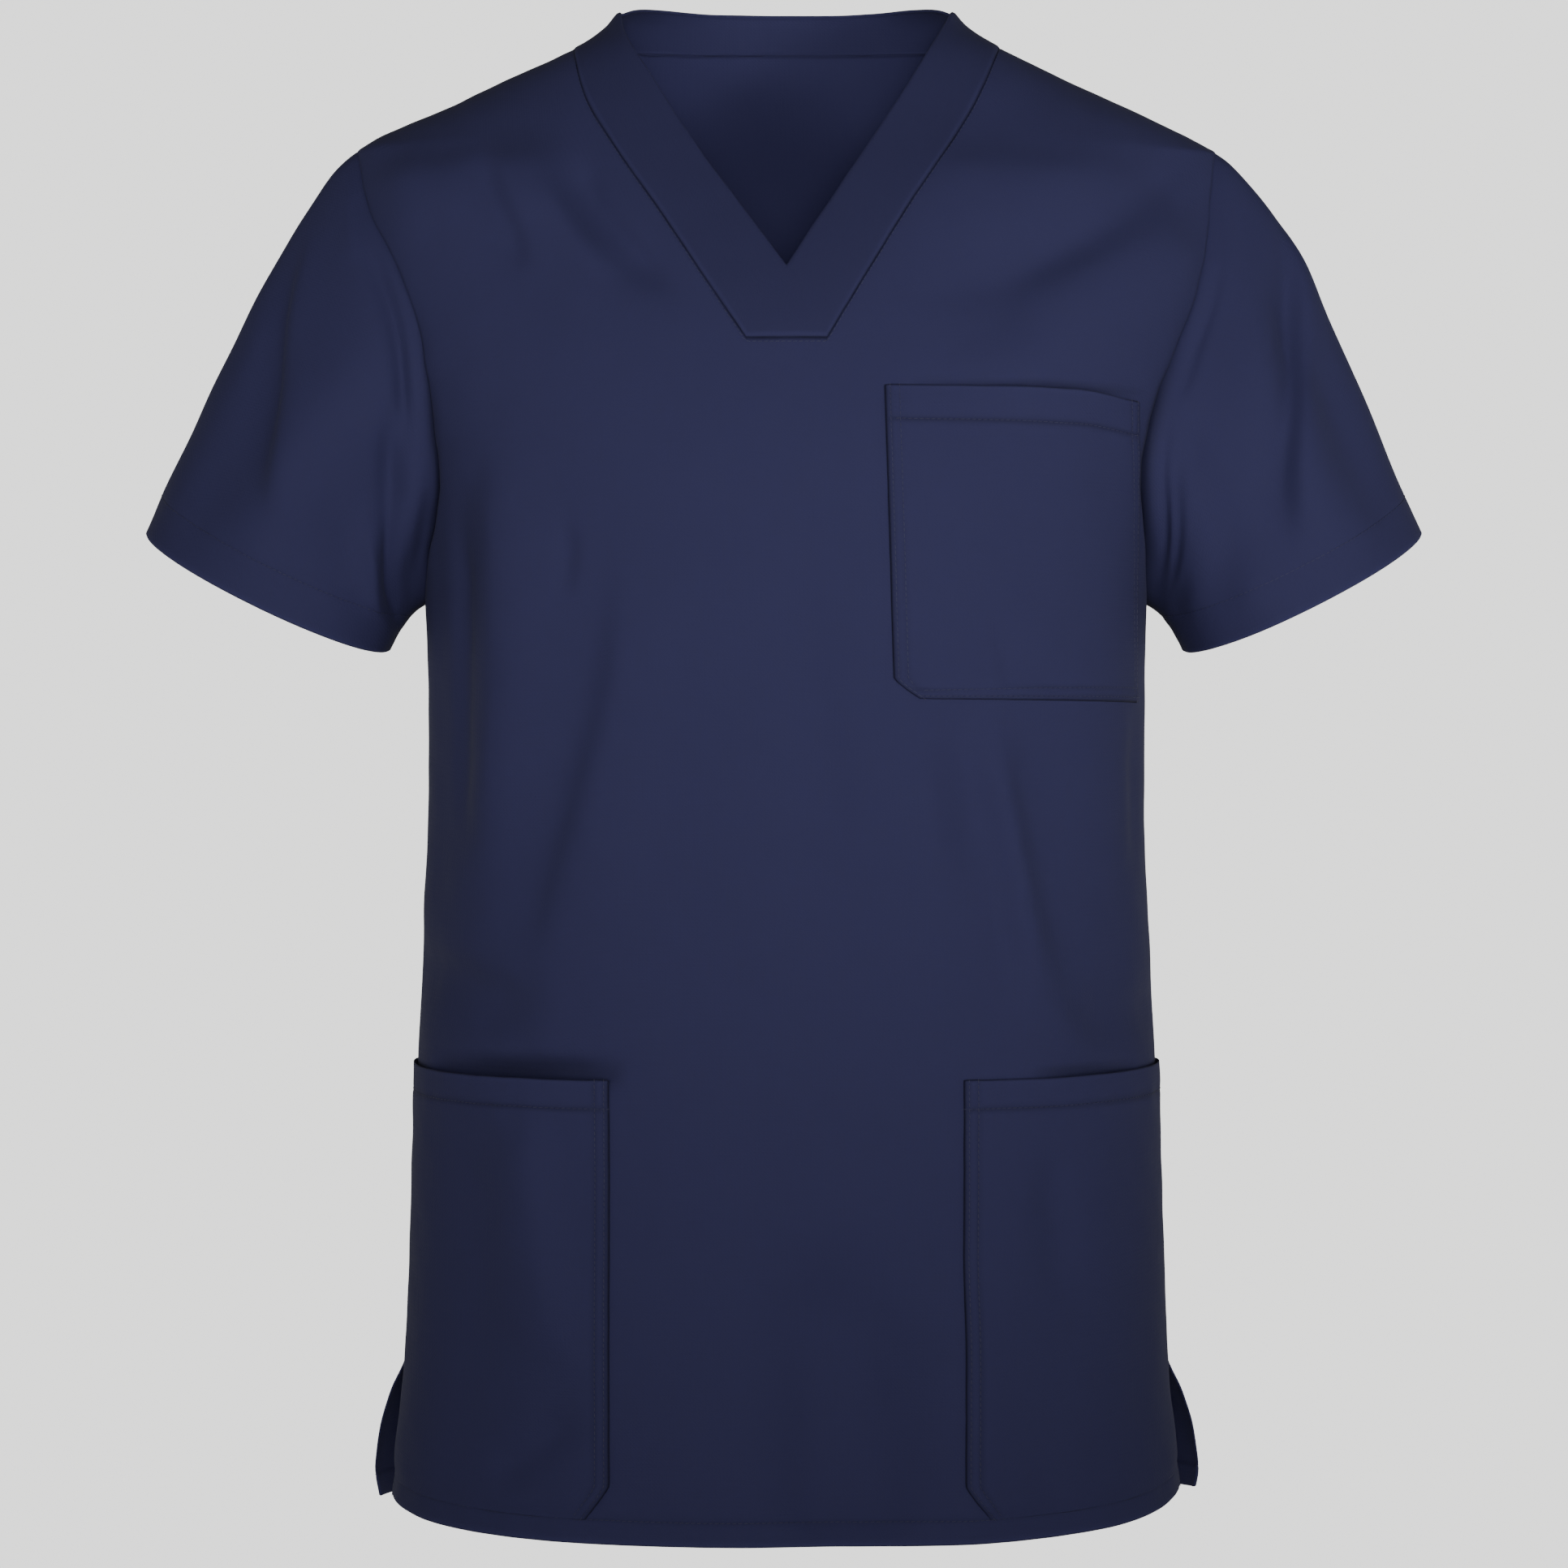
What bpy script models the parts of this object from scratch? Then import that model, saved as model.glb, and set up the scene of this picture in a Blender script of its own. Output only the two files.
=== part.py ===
"""A short-sleeved, V-necked scrub top, filled out as when it is worn, with nobody in it.

Every cut piece is its own solid. The body and the neckband lie on one round form, a stack of
rounded sections from the hem to the edge of the neck, and each piece is a stretch of that form
between its seams. The sleeves run from the armhole edges to their cuffs, and the patch pockets
are made from the points of the front panel, moved out.

Metres. +Z is up, the front faces -Y and the wearer's left is +X. The origin is between the
shoulders, level with the highest point of the shoulder line, where the wearer carries the top.
"""
import math
from bisect import bisect_right
from collections import namedtuple

import bpy
from mathutils import Vector

# ---------------------------------------------------------------- sizes of the cloth and seams
CLOTH = 0.0014              # wall that stands for one layer of cloth with its seam turnings
HEM_CLOTH = 0.0022          # wall where a hem is turned up
SEAM_GAP = 0.0003           # between two pieces that are sewn edge to edge
PATCH_GAP = 0.0003          # between a pocket and the panel under it
SEAM_STRIP = 0.0045         # the hip pockets stop this far short of the side seams
TINY = 1e-4

# ---------------------------------------------------------------- heights, from the shoulder line
HEM = -0.741
HEM_LINE = -0.7300          # top of the turned-up hem, and foot of the hip pockets
VENT_TOP = -0.668
HIP_POCKET_TOP = -0.520
CHEST_POCKET_FOOT = -0.337
ARMPIT = -0.286
CHEST_POCKET_TOP = -0.1865  # also the level where the rows start to fan out to neck and shoulder

# ---------------------------------------------------------------- widths, from the middle
CHEST_POCKET_EDGE = 0.0495
CHEST_POCKET_OUTER = 0.1732  # its outer edge, which is sewn down straight up and down
HIP_POCKET_EDGE = 0.085
SIDE_TURN = 0.126           # outside this the columns share the round side evenly
NECK_FOOT_HALF = 0.0195     # half the flat foot of the neckband
NECK_SEAM_TOP = (0.1075, -0.007)     # half width and height of the neck seam on the shoulder
NECK_EDGE_TOP = (0.084, 0.0115)     # the same for the free edge of the band
SHOULDER_POINT = (0.2155, -0.0579)  # top of the armhole

# The form: half width at the sides, depth in front of and behind the side line, and how square
# the section is (2 is an ellipse).
Section = namedtuple("Section", "height half_width front back square")
SECTIONS = [
    Section(-0.7410, 0.1995, 0.1290, 0.1240, 2.35),
    Section(-0.7150, 0.1965, 0.1285, 0.1230, 2.35),
    Section(-0.6680, 0.1908, 0.1275, 0.1210, 2.35),
    Section(-0.6000, 0.1880, 0.1270, 0.1190, 2.35),
    Section(-0.5200, 0.1857, 0.1265, 0.1160, 2.35),
    Section(-0.4500, 0.1825, 0.1260, 0.1125, 2.35),
    Section(-0.3900, 0.1803, 0.1255, 0.1110, 2.35),
    Section(-0.3300, 0.1804, 0.1260, 0.1130, 2.35),
    Section(-0.2860, 0.1816, 0.1260, 0.1160, 2.35),
    Section(-0.2215, 0.1905, 0.1225, 0.1190, 2.30),
    Section(-0.1580, 0.2105, 0.1100, 0.1155, 2.30),
    Section(-0.1200, 0.2225, 0.0970, 0.1080, 2.30),
    Section(-0.0900, 0.2265, 0.0835, 0.0995, 2.30),
    Section(-0.0615, 0.2212, 0.0690, 0.0890, 2.30),
    Section(-0.0554, 0.2108, 0.0662, 0.0862, 2.30),
    Section(-0.0308, 0.1568, 0.0562, 0.0742, 2.30),
    Section(-0.0123, 0.1183, 0.0500, 0.0655, 2.30),
    Section(-0.0020, 0.0976, 0.0470, 0.0615, 2.30),
    Section(0.0025, 0.0917, 0.0455, 0.0600, 2.30),
    Section(0.0115, 0.0842, 0.0430, 0.0570, 2.30),
    Section(0.0196, 0.0738, 0.0410, 0.0550, 2.30),
]

# The armhole seam: half width at each height, on the front and on the back. The seam on the
# wearer's left stands a little further out at mid height.
ArmholeRow = namedtuple("ArmholeRow", "height front_left front_right back")
ARMHOLE = [
    ArmholeRow(-0.2860, 0.1816, 0.1816, 0.1816),
    ArmholeRow(-0.2660, 0.1808, 0.1808, 0.1818),
    ArmholeRow(-0.2215, 0.1768, 0.1755, 0.1800),
    ArmholeRow(-0.1890, 0.1825, 0.1762, 0.1860),
    ArmholeRow(-0.1580, 0.1945, 0.1800, 0.1950),
    ArmholeRow(-0.1200, 0.2060, 0.1925, 0.2065),
    ArmholeRow(-0.0900, 0.2125, 0.2075, 0.2130),
    ArmholeRow(-0.0579, 0.2155, 0.2155, 0.2155),
]

# The neck seam of the front panel and the free inner edge of the V: half width at each height, on
# the wearer's left and right. The V hangs a little towards the wearer's right.
NeckRow = namedtuple("NeckRow", "height left right")
NECK_SEAM = [
    NeckRow(-0.163, 0.0195, 0.0195), NeckRow(-0.129, 0.0394, 0.0420),
    NeckRow(-0.100, 0.0569, 0.0606), NeckRow(-0.067, 0.0784, 0.0828),
    NeckRow(-0.035, 0.0960, 0.1004), NeckRow(-0.007, 0.1075, 0.1075),
]
NECK_EDGE = [
    NeckRow(-0.127, 0.0, 0.0), NeckRow(-0.100, 0.0170, 0.0190), NeckRow(-0.066, 0.0387, 0.0430),
    NeckRow(-0.030, 0.0612, 0.0653), NeckRow(0.003, 0.0797, 0.0825), NeckRow(0.0115, 0.084, 0.084),
]
EdgeRow = namedtuple("EdgeRow", "height half_width")
BACK_SEAM_HEIGHT = 0.0      # height of the back neck seam at the middle
BACK_EDGE_HEIGHT = 0.0196   # height of the band's edge at the middle of the back

# The inner edge of the chest pocket leans outwards towards its foot.
CHEST_POCKET_LEAN = [
    EdgeRow(-0.741, 0.0), EdgeRow(-0.450, 0.0), EdgeRow(-0.337, 0.0022), EdgeRow(-0.189, -0.0022),
    EdgeRow(-0.150, -0.0022),
]

# The back panel opens outwards in the side vents: extra half width at each height.
VENT_FLARE = [
    EdgeRow(-0.741, 0.0090), EdgeRow(-0.722, 0.0130), EdgeRow(-0.704, 0.0122),
    EdgeRow(-0.686, 0.0065), EdgeRow(-0.664, 0.0), EdgeRow(-0.640, 0.0),
]
# Level rows rise towards the sides, at the hem and at the mouths of the hip pockets. The corners
# of the hem do so unevenly: on the front and the back, at the wearer's left and right.
SideRow = namedtuple("SideRow", "height front_left front_right back_left back_right")
SIDE_RISE = [
    SideRow(-0.741, 0.0165, 0.0105, 0.0075, 0.0020), SideRow(-0.730, 0.0155, 0.0098, 0.0070, 0.0020),
    SideRow(-0.668, 0.0040, 0.0040, 0.0040, 0.0040), SideRow(-0.520, 0.0045, 0.0045, 0.0045, 0.0045),
    SideRow(-0.450, 0.0, 0.0, 0.0, 0.0), SideRow(-0.400, 0.0, 0.0, 0.0, 0.0),
]
SIDE_RISE_POWER = 2.6
VENT_SPREAD = math.radians(5.0)     # how far round each panel stops short in the vent
FLARE_START = math.radians(50.0)    # the flare begins this far round from the middle

# Large soft folds of the body: a ridge (rise > 0) or a trough from one end to the other, as
# girth from the middle of the front or back, and height. Wearer's left is positive.
Fold = namedtuple("Fold", "girth_a height_a girth_b height_b half_width rise")
FRONT_FOLDS = [
    Fold(-0.098, -0.250, -0.092, -0.330, 0.017, 0.0034),
    Fold(-0.092, -0.330, -0.128, -0.475, 0.018, 0.0036),
    Fold(-0.140, -0.235, -0.135, -0.440, 0.022, -0.0044),
    Fold(-0.190, -0.215, -0.185, -0.410, 0.016, -0.0036),
    Fold(-0.147, -0.080, -0.122, -0.150, 0.013, -0.0030),
    Fold(-0.112, -0.100, -0.068, -0.148, 0.012, -0.0026),
    Fold(0.208, -0.088, 0.100, -0.150, 0.018, -0.0042),
    Fold(0.200, -0.130, 0.120, -0.175, 0.018, 0.0026),
    Fold(0.094, -0.345, 0.118, -0.430, 0.016, 0.0034),
    Fold(0.118, -0.430, 0.142, -0.515, 0.017, 0.0034),
    Fold(0.128, -0.360, 0.172, -0.500, 0.019, -0.0036),
    Fold(0.045, -0.640, 0.050, -0.728, 0.024, -0.0042),
    Fold(-0.150, -0.560, -0.165, -0.720, 0.024, -0.0034),
]
BACK_FOLDS = [
    Fold(-0.085, -0.180, -0.110, -0.480, 0.024, -0.0046),
    Fold(0.075, -0.200, 0.100, -0.520, 0.024, -0.0046),
    Fold(-0.195, -0.150, -0.080, -0.235, 0.020, -0.0040),
    Fold(0.195, -0.140, 0.090, -0.225, 0.020, -0.0040),
    Fold(0.010, -0.420, -0.005, -0.735, 0.030, 0.0040),
    Fold(-0.140, -0.480, -0.120, -0.735, 0.026, 0.0036),
    Fold(0.130, -0.500, 0.145, -0.735, 0.026, 0.0036),
]

# ---------------------------------------------------------------- sleeves
CUFF_MIDDLE = Vector((0.2614, -0.002, -0.2800))
CUFF_HALF_WIDTH = 0.0684
CUFF_HALF_DEPTH = 0.0570
CUFF_TILT = math.radians(26.0)      # the cuff runs down towards the body
CUFF_FRONT_DIP = 0.0088             # the front of the cuff hangs lower than its two corners
CUFF_BACK_RISE = 0.0040
SLEEVE_FALL = math.radians(24.7)    # the sleeve's line at the cuff, out from straight down
SHOULDER_FALL = math.radians(38.0)  # the line of its top where it leaves the shoulder
TOP_LEAVE_LEFT = 0.76               # how far the line at each end carries, against its length
TOP_LEAVE_RIGHT = 0.56
UNDER_LEAVE = 0.90
ARRIVE = 1.0
CUFF_OUT_LEFT = -0.0030             # the left cuff stands this much nearer the body
SLEEVE_ROWS = 11

# Soft folds of a sleeve, round from the top (0) by the front (0.25) to the armpit (0.5) and the
# back (0.75), at the armhole and at the cuff, and how far along they start and end.
SleeveFold = namedtuple("SleeveFold", "round_a round_b start end half_width rise")
LEFT_SLEEVE_FOLDS = [
    SleeveFold(0.120, 0.110, 0.15, 1.05, 0.045, -0.0042),
    SleeveFold(0.200, 0.190, 0.10, 1.05, 0.045, 0.0030),
    SleeveFold(0.300, 0.330, 0.00, 0.90, 0.050, -0.0046),
    SleeveFold(0.700, 0.690, 0.10, 0.95, 0.050, -0.0042),
    SleeveFold(0.870, 0.880, 0.20, 1.05, 0.050, -0.0036),
]
RIGHT_SLEEVE_FOLDS = [
    SleeveFold(0.130, 0.140, 0.15, 1.05, 0.045, -0.0040),
    SleeveFold(0.210, 0.220, 0.10, 1.05, 0.045, 0.0030),
    SleeveFold(0.290, 0.330, 0.00, 0.90, 0.050, -0.0048),
    SleeveFold(0.690, 0.680, 0.10, 0.95, 0.050, -0.0042),
    SleeveFold(0.860, 0.870, 0.20, 1.05, 0.050, -0.0036),
]

# ---------------------------------------------------------------- lattice of the body
INNER_COLUMNS_FRONT = [0.0, NECK_FOOT_HALF, 0.0350, CHEST_POCKET_EDGE, 0.0610, 0.0730,
                       HIP_POCKET_EDGE, 0.0985, 0.1120, SIDE_TURN]
INNER_COLUMNS_BACK = [0.0, 0.0220, 0.0440, 0.0660, 0.0870, 0.1070, SIDE_TURN]
OUTER_COLUMNS = 7
POCKET_COLUMNS = 4          # of these, as many as lie under the chest pocket
POCKET_EASE = -0.420        # below this the columns are even again
FAN_ROWS = 10
# Stretches of rows from the hem up: the level where each ends, and its number of rows.
Stretch = namedtuple("Stretch", "top rows")
STRETCHES = [
    Stretch(HEM_LINE, 1), Stretch(VENT_TOP, 4), Stretch(HIP_POCKET_TOP, 8),
    Stretch(CHEST_POCKET_FOOT, 10), Stretch(ARMPIT, 3), Stretch(CHEST_POCKET_TOP, 6),
]
BAND_ROWS = 4
NECK_CROWD = 1.4            # how the columns of the V crowd together towards the shoulder
MOUTH_GAPE_HIP = 0.0024     # how far the mouth of a hip pocket stands off the panel
MOUTH_GAPE_CHEST = 0.0010
MOUTH_ROWS = 3              # the gape fades out over these rows

# Colours are linear; all pieces are the same navy poplin.
NAVY = (0.0222, 0.0262, 0.0630, 1.0)
CLOTH_ROUGHNESS = 0.82


# ================================================================ curves through short tables
def smooth(rows, key, column):
    """The value of a column at a height, on a smooth curve through the rows of a table."""
    heights = [row.height for row in rows]
    values = [getattr(row, column) for row in rows]
    i = min(max(bisect_right(heights, key) - 1, 0), len(rows) - 2)
    span = heights[i + 1] - heights[i]
    part = (key - heights[i]) / span
    slope_a = knot_slope(heights, values, i)
    slope_b = knot_slope(heights, values, i + 1)
    if part < 0.0:
        return values[i] + slope_a * (key - heights[i])
    if part > 1.0:
        return values[i + 1] + slope_b * (key - heights[i + 1])
    square, cube = part * part, part * part * part
    return ((2 * cube - 3 * square + 1) * values[i] + (cube - 2 * square + part) * span * slope_a
            + (3 * square - 2 * cube) * values[i + 1] + (cube - square) * span * slope_b)


def knot_slope(heights, values, i):
    """Slope of the smooth curve at one row, which never overshoots the rows beside it."""
    if i == 0 or i == len(values) - 1:
        j = min(max(i, 1), len(values) - 1)
        return (values[j] - values[j - 1]) / (heights[j] - heights[j - 1])
    step_a, step_b = heights[i] - heights[i - 1], heights[i + 1] - heights[i]
    rate_a, rate_b = (values[i] - values[i - 1]) / step_a, (values[i + 1] - values[i]) / step_b
    if rate_a * rate_b <= 0.0:
        return 0.0
    weight_a, weight_b = 2 * step_b + step_a, step_b + 2 * step_a
    return (weight_a + weight_b) / (weight_a / rate_a + weight_b / rate_b)


def section_at(height):
    """The section of the form at a height."""
    columns = ("half_width", "front", "back", "square")
    return Section(height, *(smooth(SECTIONS, height, name) for name in columns))


def ease(part):
    """0 to 1 with a soft start and end."""
    part = min(max(part, 0.0), 1.0)
    return part * part * (3.0 - 2.0 * part)


def mix(a, b, part):
    return a + (b - a) * part


# ================================================================ the form
def form_point(angle, height):
    """A point of the form. The angle is 0 at the middle of the front, +90 degrees at the
    wearer's left side and 180 degrees at the middle of the back."""
    s = section_at(height)
    power = 2.0 / s.square
    across = math.copysign(abs(math.sin(angle)) ** power, math.sin(angle))
    forward = math.copysign(abs(math.cos(angle)) ** power, math.cos(angle))
    depth = s.front if forward > 0 else s.back
    x = s.half_width * across
    if height < VENT_TOP and forward <= 0:
        turn = ease((math.pi - abs(angle) - FLARE_START) / (math.pi / 2 - FLARE_START))
        x += math.copysign(smooth(VENT_FLARE, height, "half_width") * turn, x)
    return Vector((x, -depth * forward, height))


def fold_rise(point, angle):
    """Height of the soft folds over the form at a point."""
    s = section_at(point.z)
    front = math.cos(angle) > 0
    depth = s.front if front else s.back
    girth = math.copysign(math.hypot(point.x, depth - abs(point.y)), point.x)
    total = 0.0
    for fold in FRONT_FOLDS if front else BACK_FOLDS:
        run = Vector((fold.girth_b - fold.girth_a, fold.height_b - fold.height_a))
        here = Vector((girth - fold.girth_a, point.z - fold.height_a))
        part = here.dot(run) / run.length_squared
        if -0.35 < part < 1.35:
            off = (here - run * part).length / fold.half_width
            fade = ease((part + 0.35) / 0.5) * ease((1.35 - part) / 0.5)
            total += fold.rise * fade * math.exp(-off * off)
    # the folds die out at the seams of the sides, so that front and back meet there
    return total * ease(abs(math.cos(angle)) / 0.35)


def body_point(angle, height):
    """A point of the cloth: the form with its folds."""
    base = form_point(angle, height)
    return base + plain_normal(form_point, angle, height) * fold_rise(base, angle)


def plain_normal(surface, angle, height):
    """Outward direction of a surface that is given by angle and height."""
    turn, rise = 2e-3, 4e-4
    around = surface(angle + turn, height) - surface(angle - turn, height)
    up = surface(angle, height + rise) - surface(angle, height - rise)
    return around.cross(up).normalized()


def angle_at(half_width, height, back=False):
    """Angle of the point with a given half width at a height."""
    s = section_at(height)
    reach = min(max(half_width / s.half_width, 0.0), 1.0)
    angle = math.asin(reach ** (s.square / 2.0))
    return math.pi - angle if back else angle


# ================================================================ lattices in angle and height
def row_levels():
    """Heights of the level rows, from the hem to the top of the chest pocket."""
    levels = [HEM]
    for stretch in STRETCHES:
        foot = levels[-1]
        levels += [mix(foot, stretch.top, (i + 1) / stretch.rows) for i in range(stretch.rows)]
    return levels


LEVELS = row_levels()


def armhole_half_width(height, side, back):
    column = "back" if back else ("front_left" if side > 0 else "front_right")
    return smooth(ARMHOLE, height, column)


def side_angle(height, side, back):
    """Angle of a panel's outer edge at a level: vent, side seam or armhole."""
    if height < VENT_TOP - TINY:
        short = VENT_SPREAD * ((VENT_TOP - height) / (VENT_TOP - HEM)) ** 0.7
        return math.pi / 2 + (short if back else -short)
    if height <= ARMPIT + TINY:
        return math.pi / 2
    return angle_at(armhole_half_width(height, side, back), height, back)


def neck_seam_point(part, side):
    """Half width and height on the front neck seam, from the foot's corner to the shoulder."""
    height = mix(NECK_SEAM[0].height, NECK_SEAM[-1].height, crowd(part))
    return smooth(NECK_SEAM, height, "left" if side > 0 else "right"), height


def crowd(part):
    """0 to 1, closer together towards 1, where the neck turns over the shoulder."""
    return 1.0 - (1.0 - part) ** NECK_CROWD


def back_neck_height(half_width):
    reach = half_width / NECK_SEAM_TOP[0]
    return BACK_SEAM_HEIGHT + (NECK_SEAM_TOP[1] - BACK_SEAM_HEIGHT) * reach ** 4


def shoulder_point(part):
    """Half width and height on the shoulder seam, from the neck to the armhole."""
    height = mix(NECK_SEAM_TOP[1], SHOULDER_POINT[1], part)
    return section_at(height).half_width, height


def top_point(column, inner, back, side):
    """Half width and height where a column of a panel ends, on the neck or the shoulder."""
    last = len(inner) - 1
    if column > last:
        return shoulder_point((column - last) / OUTER_COLUMNS)
    if back:
        half_width = NECK_SEAM_TOP[0] * column / last
        return half_width, back_neck_height(half_width)
    if column <= 1:
        return NECK_FOOT_HALF * column, NECK_SEAM[0].height
    return neck_seam_point((column - 1) / (last - 1), side)


def level_angles(height, side, inner, back):
    """Angles of one half of a level row, from the middle outwards. The last cell is a narrow
    strip along the seam."""
    angles = [angle_at(column_width(x, height), height, back) for x in inner]
    turn, edge = angles[-1], side_angle(height, side, back)
    strip = angle_short_of(edge, height, SEAM_STRIP, turn)
    even = OUTER_COLUMNS - 1
    outer = [mix(turn, strip, (i + 1) / even) for i in range(even)]
    if side > 0 and not back:
        outer = pocket_columns(outer, height, turn, strip)
    return angles + outer + [edge]


def pocket_columns(outer, height, turn, strip):
    """The outer columns of the wearer's left front, drawn to the chest pocket's outer edge."""
    edge = angle_at(CHEST_POCKET_OUTER, height)
    rest = len(outer) - POCKET_COLUMNS
    drawn = [mix(turn, edge, (i + 1) / POCKET_COLUMNS) for i in range(POCKET_COLUMNS)]
    drawn += [mix(edge, strip, (i + 1) / rest) for i in range(rest)]
    pull = ease((height - POCKET_EASE) / (CHEST_POCKET_FOOT - POCKET_EASE))
    return [mix(a, b, pull) for a, b in zip(outer, drawn)]


def column_width(half_width, height):
    """Half width of an inner column. The one at the chest pocket's edge leans a little."""
    if half_width != CHEST_POCKET_EDGE:
        return half_width
    return half_width + smooth(CHEST_POCKET_LEAN, height, "half_width")


def angle_short_of(edge, height, distance, towards):
    """Angle of the point that lies a distance from an edge point, at the same height."""
    target, near, far = form_point(edge, height), edge, towards
    for _ in range(24):
        middle = (near + far) / 2.0
        if (form_point(middle, height) - target).length < distance:
            near = middle
        else:
            far = middle
    return near


def fan_half_row(v, side, inner, back):
    """Angles and heights of one half of a row between the chest and the neck and shoulder."""
    part = math.sin(math.pi / 2 * v)
    last = len(inner) + OUTER_COLUMNS - 1
    foot_angles = level_angles(CHEST_POCKET_TOP, side, inner, back)
    foot = section_at(CHEST_POCKET_TOP)
    cells = []
    for column, angle in enumerate(foot_angles):
        start = foot.half_width * abs(math.sin(angle)) ** (2.0 / foot.square)
        end, top = top_point(column, inner, back, side)
        height = mix(CHEST_POCKET_TOP, top, part)
        half_width = mix(start, end, part)
        if column > len(inner) - 1:
            edge_height = mix(CHEST_POCKET_TOP, SHOULDER_POINT[1], part)
            edge_start = armhole_half_width(CHEST_POCKET_TOP, side, back)
            bend = (armhole_half_width(edge_height, side, back)
                    - mix(edge_start, SHOULDER_POINT[0], part))
            half_width += bend * ((column - len(inner) + 1) / OUTER_COLUMNS) ** 2
        at_seam = part > 1.0 - 1e-9 and column >= len(inner) - 1
        cells.append((math.pi / 2 if at_seam or (column == last and v >= 1.0)
                      else angle_at(half_width, height, back), height))
    return cells


def panel_lattice(inner, back):
    """Rows of (angle, height) from the hem up, each from the wearer's right to the left."""
    rows = []
    for height in LEVELS:
        halves = [[(a, height + side_rise(a, height, side, back))
                   for a in level_angles(height, side, inner, back)] for side in (-1, 1)]
        rows.append(join_halves(*halves))
    for i in range(1, FAN_ROWS + 1):
        halves = [fan_half_row(i / FAN_ROWS, side, inner, back) for side in (-1, 1)]
        rows.append(join_halves(*halves))
    return rows


def side_rise(angle, height, side, back):
    """How much a level row has risen at an angle from the middle of its panel."""
    turn = (math.pi - angle if back else angle) / (math.pi / 2)
    column = ("back" if back else "front") + ("_left" if side > 0 else "_right")
    return max(smooth(SIDE_RISE, height, column), 0.0) * turn ** SIDE_RISE_POWER


def join_halves(right, left):
    """One row out of its two halves, which both start at the middle."""
    return [(-angle, height) for angle, height in reversed(right)] + left[1:]


# ================================================================ solids
Sheet = namedtuple("Sheet", "points normals")


def cloth_sheet(lattice):
    """Points and outward directions of a lattice in angle and height."""
    points = [[body_point(a, z) for a, z in row] for row in lattice]
    normals = [[plain_normal(body_point, a, z) for a, z in row] for row in lattice]
    return Sheet(points, normals)


def pull_in(sheet, row, column, inner_row, inner_column, distance):
    """Move one edge point of a sheet towards the point beside it."""
    here, beside = sheet.points[row][column], sheet.points[inner_row][inner_column]
    sheet.points[row][column] = here + (beside - here).normalized() * distance


def solid_from_sheet(name, sheet, material, thickness, cells=None):
    """A closed wall: the sheet's points are its outer face, and its inner face lies inside.

    cells lists the corner indices (row, column) of each face; by default every cell is used.
    """
    rows, columns = len(sheet.points), len(sheet.points[0])
    if cells is None:
        cells = grid_cells(range(rows - 1), range(columns - 1))
    used = sorted({corner for cell in cells for corner in cell})
    index = {corner: i for i, corner in enumerate(used)}
    outer = [sheet.points[r][c] for r, c in used]
    inner = [sheet.points[r][c] - sheet.normals[r][c] * thickness(r, c) for r, c in used]
    count = len(used)
    faces = []
    edges = set()
    for cell in cells:
        loop = [index[corner] for corner in cell]
        # both faces of the wall are split along the same diagonal, so that layers stay parallel
        for triangle in zip(loop[:1] * 2, loop[1:], loop[2:]):
            faces.append(triangle)
            faces.append([i + count for i in reversed(triangle)])
        edges.update(zip(loop, loop[1:] + loop[:1]))
    for a, b in sorted(edges):
        if (b, a) not in edges:
            faces.append([b, a, a + count, b + count])
    return new_object(name, outer + inner, faces, material)


def grid_cells(rows, columns):
    """Faces of a lattice whose rows go up and whose columns go towards the wearer's left."""
    return [((r, c), (r, c + 1), (r + 1, c + 1), (r + 1, c)) for r in rows for c in columns]


def new_object(name, points, faces, material):
    mesh = bpy.data.meshes.new(name)
    mesh.from_pydata([tuple(p) for p in points], [], faces)
    mesh.materials.append(material)
    mesh.validate()
    mesh.shade_smooth()
    mesh.set_sharp_from_angle(angle=math.radians(50))
    thing = bpy.data.objects.new(name, mesh)
    bpy.context.collection.objects.link(thing)
    return thing


def navy_poplin(name):
    """Plain-woven polyester and cotton, dyed navy."""
    material = bpy.data.materials.new(name)
    material.use_nodes = True
    shader = material.node_tree.nodes["Principled BSDF"]
    shader.inputs["Base Color"].default_value = NAVY
    shader.inputs["Roughness"].default_value = CLOTH_ROUGHNESS
    shader.inputs["Metallic"].default_value = 0.0
    material.diffuse_color = NAVY
    return material


# ================================================================ body panels
def wall(row, _column):
    """Wall of a body panel: thicker in the turned-up hem."""
    return HEM_CLOTH if LEVELS[0] <= row_height(row) <= HEM_LINE + TINY else CLOTH


def row_height(row):
    return LEVELS[row] if row < len(LEVELS) else LEVELS[-1]


def trim_seams(sheet):
    """Pull the side and shoulder edges of a panel in by half a seam gap."""
    last = len(sheet.points[0]) - 1
    top = len(sheet.points) - 1
    side_rows = [r for r, z in enumerate(LEVELS) if VENT_TOP - TINY <= z <= ARMPIT + TINY]
    for row in side_rows:
        pull_in(sheet, row, 0, row, 1, SEAM_GAP / 2)
        pull_in(sheet, row, last, row, last - 1, SEAM_GAP / 2)
    for k in range(OUTER_COLUMNS + 1):
        pull_in(sheet, top, k, top - 1, k, SEAM_GAP / 2)
        pull_in(sheet, top, last - k, top - 1, last - k, SEAM_GAP / 2)


def body_panel(name, inner, back):
    """Front or back panel, and its untrimmed sheet, from which others are made."""
    lattice = panel_lattice(inner, back)
    if back:
        lattice = [list(reversed(row)) for row in lattice]
    sheet = cloth_sheet(lattice)
    trimmed = Sheet([list(row) for row in sheet.points], sheet.normals)
    trim_seams(trimmed)
    solid_from_sheet(name, trimmed, navy_poplin(name + "_poplin"), wall)
    return sheet


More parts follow.
